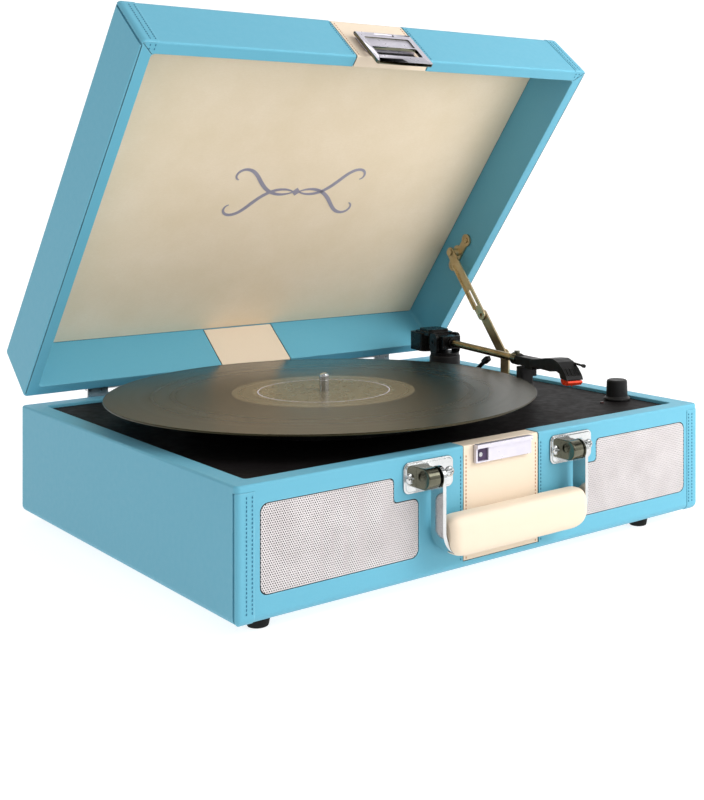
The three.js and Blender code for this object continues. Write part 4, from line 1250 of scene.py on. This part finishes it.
def latch_hasp():
    """A thick framed plate whose top edge turns on the pin. Its side and lower faces take a darker finish,
    painted shade for the dark they would mirror.
    """
    low, high = span("latch_hasp", LID)
    y, z = pivot("hasp_pivot", LID)[1:]
    half = high.x
    y0, y1 = y - HASP_T / 2, y + HASP_T / 2
    body = prism(rectangle(-half, half, low.z, z - 3, 1.2), "y", y0, y1)
    window = prism(rectangle(-half + 4.5, half - 4.5, low.z + 8, low.z + 18.5, 1), "y", y0 - 1, y1 + 1)
    panel = prism(rectangle(-half + 4.5, half - 4.5, low.z + 19.5, z - 5.5, 1), "y", y0 - 1, y0 + 1)
    cut(body, window, panel)
    parts = []
    for x0, x1 in ((-half, -8.3), (8.3, half)):
        parts.append(rod("x", (y, z), HASP_T / 2, x0, x1))
        parts.append(block(x0, x1, y0, y1, z - 4.5, z))
    join(body, *parts)
    cut(body, rod("x", (y, z), 0.85, -half - 1, half + 1))
    looks = ["bright", "dark_chrome"]
    made = finished("latch_hasp_plate", body, "hasp", looks, ["latch_hasp"], LID, bevel=0.25)
    # Painted shade: the faces that turn sideways or down take the dark finish.
    for face in made.data.polygons:
        if abs(face.normal.y) < 0.4 and face.normal.z < 0.5:
            face.material_index = 1


# ---- hinges ----
def hinge_leaf(node, body, x, z_screw, knuckles, web, plate_z, place=BASE):
    """A leaf, its webs up to the pin and its knuckles round it, and two screw heads."""
    y, z = pivot("lid_hinge")[1:]
    low, high = span(node, place)
    y0, y1 = BACK + GAP, BACK + 1.8
    plate = prism(rectangle(low.x, high.x, *plate_z, 2), "y", y0, y1)
    parts = []
    for a, b in knuckles:
        parts += [block(a, b, y0, y1, *web), rod("x", (y, z), KNUCKLE_R, a, b)]
    parts += [rod("y", (x + dx, z_screw), 2.6, y1 - 0.2, y1 + 0.8, 32) for dx in (-17, 17)]
    join(plate, *parts)
    cut(plate, rod("x", (y, z), 1.7, knuckles[0][0] - 1.3, knuckles[-1][1] + 1.3))
    finished(f"{node}_plate", plate, body, "steel", [node], place, bevel=0.2, segments=2)


def hinges():
    y, z = pivot("lid_hinge")[1:]
    for word in ("left", "right"):
        node = f"hinge_base_leaf_{word}"
        low, high = span(node)
        x = (low.x + high.x) / 2
        knuckles = ((low.x, x - 9), (x + 9, high.x))
        hinge_leaf(node, "case", x, low.z + 9, knuckles, (77, z), (low.z, 79))
        node = f"hinge_lid_leaf_{word}"
        top = span(node, LID)[1].z
        hinge_leaf(node, "lid", x, top - 8, [(x - 8.7, x + 8.7)], (z, 91), (89.5, top), LID)
        node = f"hinge_pin_{word}"
        low, high = span(node)
        pin = rod("x", (y, z), 1.5, low.x, high.x)
        finished(f"{node}_rod", pin, "case", "steel", [node], slot="steel", bevel=0.3, segments=2)


# ---- lid stay ----
def stay_link(length, x0, x1, end_bore=None, slot=None):
    """A flat link with round ends, drawn along y from its own pivot."""
    bar = prism(arc(0, 0, LINK_R, 90, 270, 16) + arc(length, 0, LINK_R, -90, 90, 16), "x", x0, x1)
    bores = [rod("x", (0, 0), 2.2, x0 - 1, x1 + 1, 32)]
    if end_bore:
        bores.append(rod("x", (length, 0), end_bore, x0 - 1, x1 + 1, 32))
    cut(bar, *bores)
    if slot:
        a, b, half = slot
        cut(bar, prism(rectangle(a, b, -half, half, half * 0.98), "x", x0 - 1, x1 + 1))
    return bar


def stay():
    deck_at, lid_at = joint_at("stay_lower_pivot") / MM, joint_at("stay_upper_pivot") / MM
    run = lid_at - deck_at
    angle = math.degrees(math.atan2(run.z, run.y))
    low, high = span("stay_lower_arm")
    lower_x = low.x, high.x
    lower_length = Vector((high.y - LINK_R - deck_at.y, high.z - LINK_R - deck_at.z)).length
    low, high = span("stay_upper_arm")
    upper_x = low.x, high.x
    upper_length = run.yz.length - lower_length
    bar = stay_link(lower_length, *lower_x)
    join(bar, rod("x", (lower_length - 4, 0), 2.4, lower_x[0] - 0.2, lower_x[1] + 1.0, 32))
    placed(bar, (0, *deck_at.yz), angle, "X")
    finished("stay_lower_link", bar, "stay_lower", "brass", ["stay_lower_arm"], bevel=0.25)
    bar = stay_link(upper_length, *upper_x, 1.6, (upper_length - 26, upper_length - 9, 1.3))
    join(bar, block(upper_x[0] - 1.4, upper_x[0] + 0.6, 12, upper_length - 8, 3.4, 4.5))
    placed(bar, (0, *lid_at.yz), angle + 180, "X")
    finished("stay_upper_link", bar, "stay_upper", "brass", ["stay_upper_arm"], bevel=0.25)
    stay_deck_bracket(deck_at.yz, lower_x[0])
    stay_lid_bracket(lid_at, *upper_x)


def stay_deck_bracket(at, link_x):
    """A post screwed to the deck, with the lower link's rivet."""
    low, high = span("stay_deck_bracket")
    y, x1 = at.x, high.x
    x0 = x1 - 1.6
    post = block(x0, x1, y - 5, y + 5, low.z, at.y)
    foot = block(166, x1, y - 5, y + 5, low.z, low.z + 1.5)
    rivet = rod("x", at, 1.9, link_x - 0.6, x1 - 0.5, 32)
    head = rod("x", at, 3, link_x - 1.6, link_x - 0.5, 32)
    join(post, rod("x", at, 5, x0, x1, 48), foot, rivet, head)
    finished("stay_deck_post", post, "case", "brass", ["stay_deck_bracket"], bevel=0.25)


def stay_lid_bracket(at, link_x0, link_x1):
    """A three-lobed plate on the lid's side wall, with the upper link's rivet."""
    x1 = span("stay_lid_bracket")[1].x
    x0 = x1 - 1.5
    ends = (-13.3, 15.7)
    plate = rod("x", (0, 0), 6, x0, x1, 48)
    lobes = [rod("x", (end, 2.2), 5.4, x0, x1, 48) for end in ends]
    join(plate, *lobes, block(x0, x1, *ends, -1.4, 5.8))
    cut(plate, *[rod("x", (end, 2.2), 3.1, x0 - 1, x0 + 0.5, 32) for end in ends])
    join(plate, *[rod("x", (end, 2.2), 2.3, x0 - 0.5, x0 + 0.8, 32) for end in ends])
    slope = LID.to_quaternion().to_euler().x + math.pi
    moved(plate, Matrix.Translation((0, at.y, at.z)) @ Matrix.Rotation(slope, 4, "X"))
    spacer = rod("x", at.yz, 3.4, link_x1 + 0.4, x0 + 0.2, 32)
    rivet = rod("x", at.yz, 1.9, link_x0 - 0.5, link_x1 + 0.5, 32)
    head = rod("x", at.yz, 3, link_x0 - 1.5, link_x0 - 0.4, 32)
    join(plate, spacer, rivet, head)
    finished("stay_lid_plate", plate, "lid", "brass", ["stay_lid_bracket"], bevel=0.25)


# ---- tonearm, drawn along its own axis ----
def arm_pedestal():
    """The drum that the arm turns on, with its post."""
    low, high = span("arm_pedestal")
    z, top = low.z, high.z
    foot = DECK_TOP + GAP
    profile = [(0, 79), (3.3, 79), (3.3, top), (12.0, top), (12.7, top - 0.25), (13, top - 0.9)]
    profile += [(13, foot + 3.2), (13.4, foot + 2.6), (14.6, foot + 2.2), (15, foot + 1.7), (15, foot)]
    profile += [(5, foot), (5, z), (0, z)]
    turned_node("arm_pedestal", profile, "case", "grey", name="arm_pedestal_drum")


def arm_yoke():
    z = pivot("arm_swing")[2]
    disc = rod("z", (0, 0), 12.3, z - 11.1, z - 9, 72)
    parts = [rod("z", (0, 0), 3, z - 22, z - 11)]
    for side, y0 in ((-1, -11.6), (1, 9.3)):
        parts.append(prism(rectangle(-6, 6, z - 10, z + 7, 4), "y", y0, y0 + 2.3))
        parts.append(rod("y", (0, z), 3.4, *sorted((side * 9.3, side * 12.1)), 32))
    join(disc, *parts)
    cut(disc, rod("y", (0, z), 1.8, -14, 14, 24))
    finished("arm_yoke_frame", disc, "arm_swivel", "black", ["arm_yoke"], ARM, bevel=0.4)


def arm_block():
    z = pivot("arm_swing")[2]
    body = block(-20, 12, -8.4, 8.4, z - 5.4, z + 5.4)
    weight = prism(rectangle(-41, -14, -14, 14, 6), "z", z - 10, z + 5.4)
    cap = prism(rectangle(-34, -5, -12, 12, 4), "z", z + 4, z + 7)
    ridge = prism(rectangle(-30, -9, -9.5, 9.5, 3), "z", z + 5, z + 9)
    trunnion = rod("y", (0, z), 1.5, -11.4, 11.4, 24)
    mouth = rod("x", (0, z), 4.4, 11, 16)
    join(body, weight, cap, ridge, trunnion, mouth)
    cut(body, rod("x", (0, z), 3.1, 4, 17))
    finished("arm_counterweight", body, "tonearm", "gloss", ["arm_block"], ARM, bevel=0.8, segments=4)


def arm_tube():
    low, high = span("arm_tube", ARM)
    z = (low.z + high.z) / 2
    rows = []
    for x, r in ((low.x, 2.5), (low.x + 0.3, 2.8), (high.x - 0.3, 2.8), (high.x, 2.5)):
        rows.append([(x, a, b) for a, b in circle(0, z, r, 40)])
    finished("arm_tube_wand", skin(rows), "tonearm", "tube", ["arm_tube"], ARM, angle=40)


HEAD_BEND = -6.8
HEAD_X = 148


def head_place(made):
    return placed(made, (HEAD_X, 0, 0), HEAD_BEND, "Z")


def headshell():
    """The plastic head: an arched shell with ribs down its slope, on a stepped neck, and a finger lift."""
    z = pivot("arm_swing")[2]
    low = [(115, z - 3.4), (132.6, z - 3.4), (133.4, z - 5.4), (143, z - 5), (144, z - 1.8), (150, z - 1.6)]
    top = [(150, z + 3.6), (132, z + 3.2), (115, z + 3)]
    neck = prism(rounded(low + top, [1, 0.3, 0.3, 1, 0.3, 0.3, 1, 1, 1], 4), "y", -4, 4)
    collar = rod("x", (0, z), 4.7, 112.3, 119, 48)
    flange = rod("x", (0, z), 4.2, 119, 122, 48)
    thumb = rod("z", (116, 0), 2.2, z + 3, z + 6.2, 32)
    outline = [(-4, 100.2), (30, 101), (40, 102.6), (44.6, 101.6), (46, 98.6), (57, 98.2), (55.4, 101.2)]
    outline += [(50, 105.6), (42, 109.6), (34, 111), (22, 109.8), (10, 107.4), (-4, 105.5)]
    side = rounded(outline, [0.5, 4, 1.5, 1.2, 0.5, 0.5, 3, 5, 6, 6, 8, 8, 0.5], 4)
    head = prism(side, "y", -6.5, 6.5)
    pocket = prism([(47.2, 97), (47.2, 100.6), (52.6, 101.6), (54.8, 97)], "y", -4.9, 4.9)
    grooves = []
    for y in (-4.4, -1.5, 1.4, 4.3):
        rail = block(-9, 9, y - 0.45, y + 0.45, -0.7, 1.5)
        grooves.append(placed(rail, (48.6, 0, 106.9), 41, "Y"))
    cut(head, pocket, *grooves)
    lift = rod("x", (6, 108.4), 0.8, 35, 58, 24)
    ball = rod("x", (6, 108.4), 1.3, 57, 59.5, 24)
    join(head, lift, ball)
    made = join(neck, flange, head_place(head))
    finished("headshell_body", made, "tonearm", "black", ["headshell"], ARM, bevel=0.35)
    join(collar, thumb)
    finished("headshell_collar", collar, "tonearm", "dark_chrome", [], ARM, bevel=0.4)


def cartridge():
    body = prism([(47.6, 98.9), (47.6, 100.2), (52.3, 101.1), (53.5, 98.9)], "y", -4.5, 4.5)
    finished("cartridge_body", head_place(body), "tonearm", "gloss", ["cartridge"], ARM, bevel=0.3)
    outline = [(45.5, 96.2), (45.8, 98.1), (56.6, 97.8), (57.6, 96.6), (54.5, 94.3), (48.5, 94.2)]
    holder = prism(rounded(outline, [0.8, 0.3, 0.3, 0.6, 1.5, 2], 4), "y", -5.9, 5.9)
    needle = prism([(49.5, 94.4), (51.5, 94.4), (52.4, 93.1), (51.8, 93.1)], "y", -0.5, 0.5)
    made = join(holder, needle)
    finished("stylus_holder", head_place(made), "tonearm", "red", ["stylus"], ARM, bevel=0.35)


def arm_rest_post():
    low, high = span("arm_rest_post", ARM)
    z = low.z
    column = prism(rectangle(122.5, 131.5, -5.5, 5.5, 2), "z", z, 97.4)
    flange = prism(rectangle(120.5, 133.5, -7, 7, 3), "z", z, z + 2)
    hook = rounded([(5.5, 90), (8, 90), (8, high.z), (5.5, high.z)], [0, 0, 1.1, 1.1], 5)
    guard = prism(hook, "x", 122.5, 131.5)
    shelf = block(122.5, 131.5, 5, 6, 90, 97.4)
    join(column, flange, guard, shelf)
    finished("arm_rest_column", column, "case", "grey", ["arm_rest_post"], ARM, bevel=0.5)


def cue():
    t, _, z = pivot("cue_lever_pivot", ARM)
    body = block(t - 5, t + 5, -5, 5, DECK_TOP + GAP, z + 2.5)
    cut(body, block(t - 6, t + 6, -2.6, 2.6, z - 3, z + 3), rod("y", (t, z), 1.5, -6, 6, 24))
    finished("cue_bracket_block", body, "case", "grey", ["cue_bracket"], ARM, bevel=0.4)
    lever = rod("y", (0, 0), 2.4, -2.2, 2.2, 32)
    pad = prism(rectangle(25, 34, -2.6, 2.6, 1.6), "z", -1.6, 1.6)
    join(lever, rod("y", (0, 0), 1.2, -4.8, 4.8, 24), rod("x", (0, 0), 1.7, 1, 32, 24), pad)
    placed(lever, (t, 0, z), -32, "Y")
    finished("cue_lever_arm", lever, "cue", "gloss", ["cue_lever"], ARM, bevel=0.25, segments=2)


# ---- back and underside ----
def jack_panel():
    low, high = span("jack_panel")
    x, z = (low.x + high.x) / 2, (low.z + high.z) / 2
    y1 = BACK - 2
    plate = prism(rectangle(low.x, high.x, low.z, high.z, 2), "y", y1 - 3, y1)
    for dx in (-24, -4):
        join(plate, rod("y", (x + dx, z), 4.2, y1 - 12, y1 + 1.6))
        cut(plate, rod("y", (x + dx, z), 1.8, y1 - 4, y1 + 2, 24))
    join(plate, rod("y", (x + 22, z), 5.5, y1 - 12, y1))
    cut(plate, rod("y", (x + 22, z), 3, y1 - 9, y1 + 1, 24))
    finished("jack_panel_plate", plate, "case", "black", ["jack_panel"], bevel=0.3)


def bottom_cover():
    low, high = span("bottom_cover")
    plate = prism(rectangle(low.x, high.x, low.y, high.y, 6), "z", low.z, high.z)
    sinks = []
    for sx in (-1, 0, 1):
        for sy in (-1, 1):
            sinks.append(rod("z", (sx * (high.x - 8), sy * (high.y - 7)), 3.4, low.z - 1, low.z + 1.2))
    for i in range(9):
        x = -40 + 10 * i
        sinks.append(prism(rectangle(x - 1.5, x + 1.5, -25, 25, 1.4), "z", low.z - 1, low.z + 1.0))
    cut(plate, *sinks)
    finished("bottom_cover_plate", plate, "case", "deck", ["bottom_cover"], bevel=0.3)


def hidden_nodes():
    """Working parts inside keep their CAD shape and get their finishes."""
    finishes = {
        "circuit_board": "board", "volume_control": "steel", "motor": "steel", "drive_belt": "rubber",
        "platter_bearing": "brass", "speaker_left": "cone", "speaker_right": "cone",
    }
    for node, finish in finishes.items():
        refinish(node, finish)


# ---- the room ----
CAMERA_AT = Vector((-0.53385, -0.75897, 0.24813))
CAMERA_YAW = -40.1
CAMERA_LENS = 56.77
SHIFT = (-0.1482, -0.2869)
WORLD_FILL = 0.67
ROOM_STOPS = ((0.0, 0.05), (0.4, 0.12), (0.5, 0.62), (0.64, 0.86), (1.0, 1.0))
FLOOR_GREY = "9c9c9c"


def floor():
    """A pale floor that sweeps up behind the object, turned to face the camera."""
    sweep = [(3.0 + 1.5 * math.sin(a), 1.5 - 1.5 * math.cos(a)) for a in (0.3, 0.6, 0.9, 1.2, math.pi / 2)]
    profile = [(-4.0, 0.0), (3.0, 0.0), *sweep, (4.5, 6.0)]
    bm = bmesh.new()
    rows = [[bm.verts.new((x, y, CAD_BOX[0].z + z)) for x in (-6.0, 6.0)] for y, z in profile]
    for lower, upper in zip(rows, rows[1:]):
        bm.faces.new((lower[0], lower[1], upper[1], upper[0]))
    made = solid(bm, "floor")
    n = Surface("floor_paper")
    paper = n.drift(3, 3, "f7f7f7", "fbfbfb")
    looks = {"Base_Color": FLOOR_GREY, "Emission_Color": paper, "Emission_Strength": 0.88}
    made.data.materials.append(n.made(**looks, Roughness=0.9, Specular_IOR_Level=0.1))
    made.matrix_world = Matrix.Rotation(math.radians(CAMERA_YAW), 4, "Z")


def soft_light(name, place, aim, size, power, mirrored=False):
    """A soft lamp. Its place and aim are measured from the middle of the object."""
    data = bpy.data.lights.new(name, "AREA")
    data.shape = "RECTANGLE"
    data.size, data.size_y = size
    data.energy = power
    lamp = bpy.data.objects.new(name, data)
    lamp.location = (CAD_BOX[0] + CAD_BOX[1]) / 2 + Vector(place)
    lamp.rotation_mode = "QUATERNION"
    lamp.rotation_quaternion = (Vector(aim) - Vector(place)).to_track_quat("-Z", "Y")
    lamp.visible_camera = False
    lamp.visible_glossy = mirrored
    bpy.context.scene.collection.objects.link(lamp)


def studio():
    """Lit by a plain white room. Shiny parts mirror a bright room with soft dark flags in it."""
    world = bpy.data.worlds.new("studio")
    bpy.context.scene.world = world
    world.use_nodes = True
    world.node_tree.nodes.clear()
    n = Nodes(world.node_tree)
    flags = n.out("TexNoise", Scale=1.7, Detail=1.0, Vector=n.out("TexCoord", "Generated"))
    room = n.out("ValToRGB", Fac=flags)
    elements = room.node.color_ramp.elements
    while len(elements) < len(ROOM_STOPS):
        elements.new(0.5)
    for element, (at, value) in zip(elements, ROOM_STOPS):
        element.position = at
        element.color = (value, value, value, 1)
    white, fill = [n.out("Background", Color=(1, 1, 1, 1), Strength=share) for share in (1.0, WORLD_FILL)]
    path = n.out("LightPath").node.outputs
    lit = n.out("MixShader", 0, path["Is Glossy Ray"], fill, n.out("Background", Color=room, Strength=1.0))
    seen = n.out("MixShader", 0, path["Is Camera Ray"], lit, white)
    n.feed(n.tree.nodes.new("ShaderNodeOutputWorld").inputs["Surface"], seen)
    soft_light("key", (0.8, -1.5, 1.4), (0, 0, 0), (1.4, 1.4), 17, mirrored=True)
    soft_light("right_fill", (0.6, -0.65, 0.3), (0.15, 0, 0), (0.5, 0.5), 4.8)
    soft_light("low_fill", (0.2, -1.2, 0), (0, 0.1, 0.1), (1.2, 0.25), 1.5)
    bpy.context.scene.view_settings.view_transform = "Standard"


def camera():
    """A level camera with a shifted lens. The shift belongs to this one station."""
    data = bpy.data.cameras.new("camera")
    data.lens = CAMERA_LENS
    data.sensor_width = 36
    made = bpy.data.objects.new("camera", data)
    made.location = CAMERA_AT
    made.rotation_euler = (math.pi / 2, 0, math.radians(CAMERA_YAW))
    bpy.context.scene.collection.objects.link(made)
    bpy.context.scene.camera = made
    for channel, amount in zip(("shift_x", "shift_y"), SHIFT):
        driver = data.driver_add(channel).driver
        driver.type = "SCRIPTED"
        variable = driver.variables.new()
        variable.name = "at"
        variable.type = "TRANSFORMS"
        target = variable.targets[0]
        target.id = made
        target.transform_type = "LOC_X"
        target.transform_space = "WORLD_SPACE"
        driver.expression = f"{amount} if abs(at - {CAMERA_AT.x}) < 0.0001 else 0.0"


for make in (
    case_shell, base_corner_strips, base_stitching, base_bands, deck, grilles,
    lid_shell, lid_corner_strips, lid_stitching, lid_band, lid_lining, lining_ornament,
    turntable, pulley, knob, led, feet, handle_brackets, handle_strap, handle_grip,
    latch_catch, latch_mount, latch_hasp, hinges, stay,
    arm_pedestal, arm_yoke, arm_block, arm_tube, headshell, cartridge, arm_rest_post, cue,
    jack_panel, bottom_cover, hidden_nodes, floor, camera, studio,
):
    make()
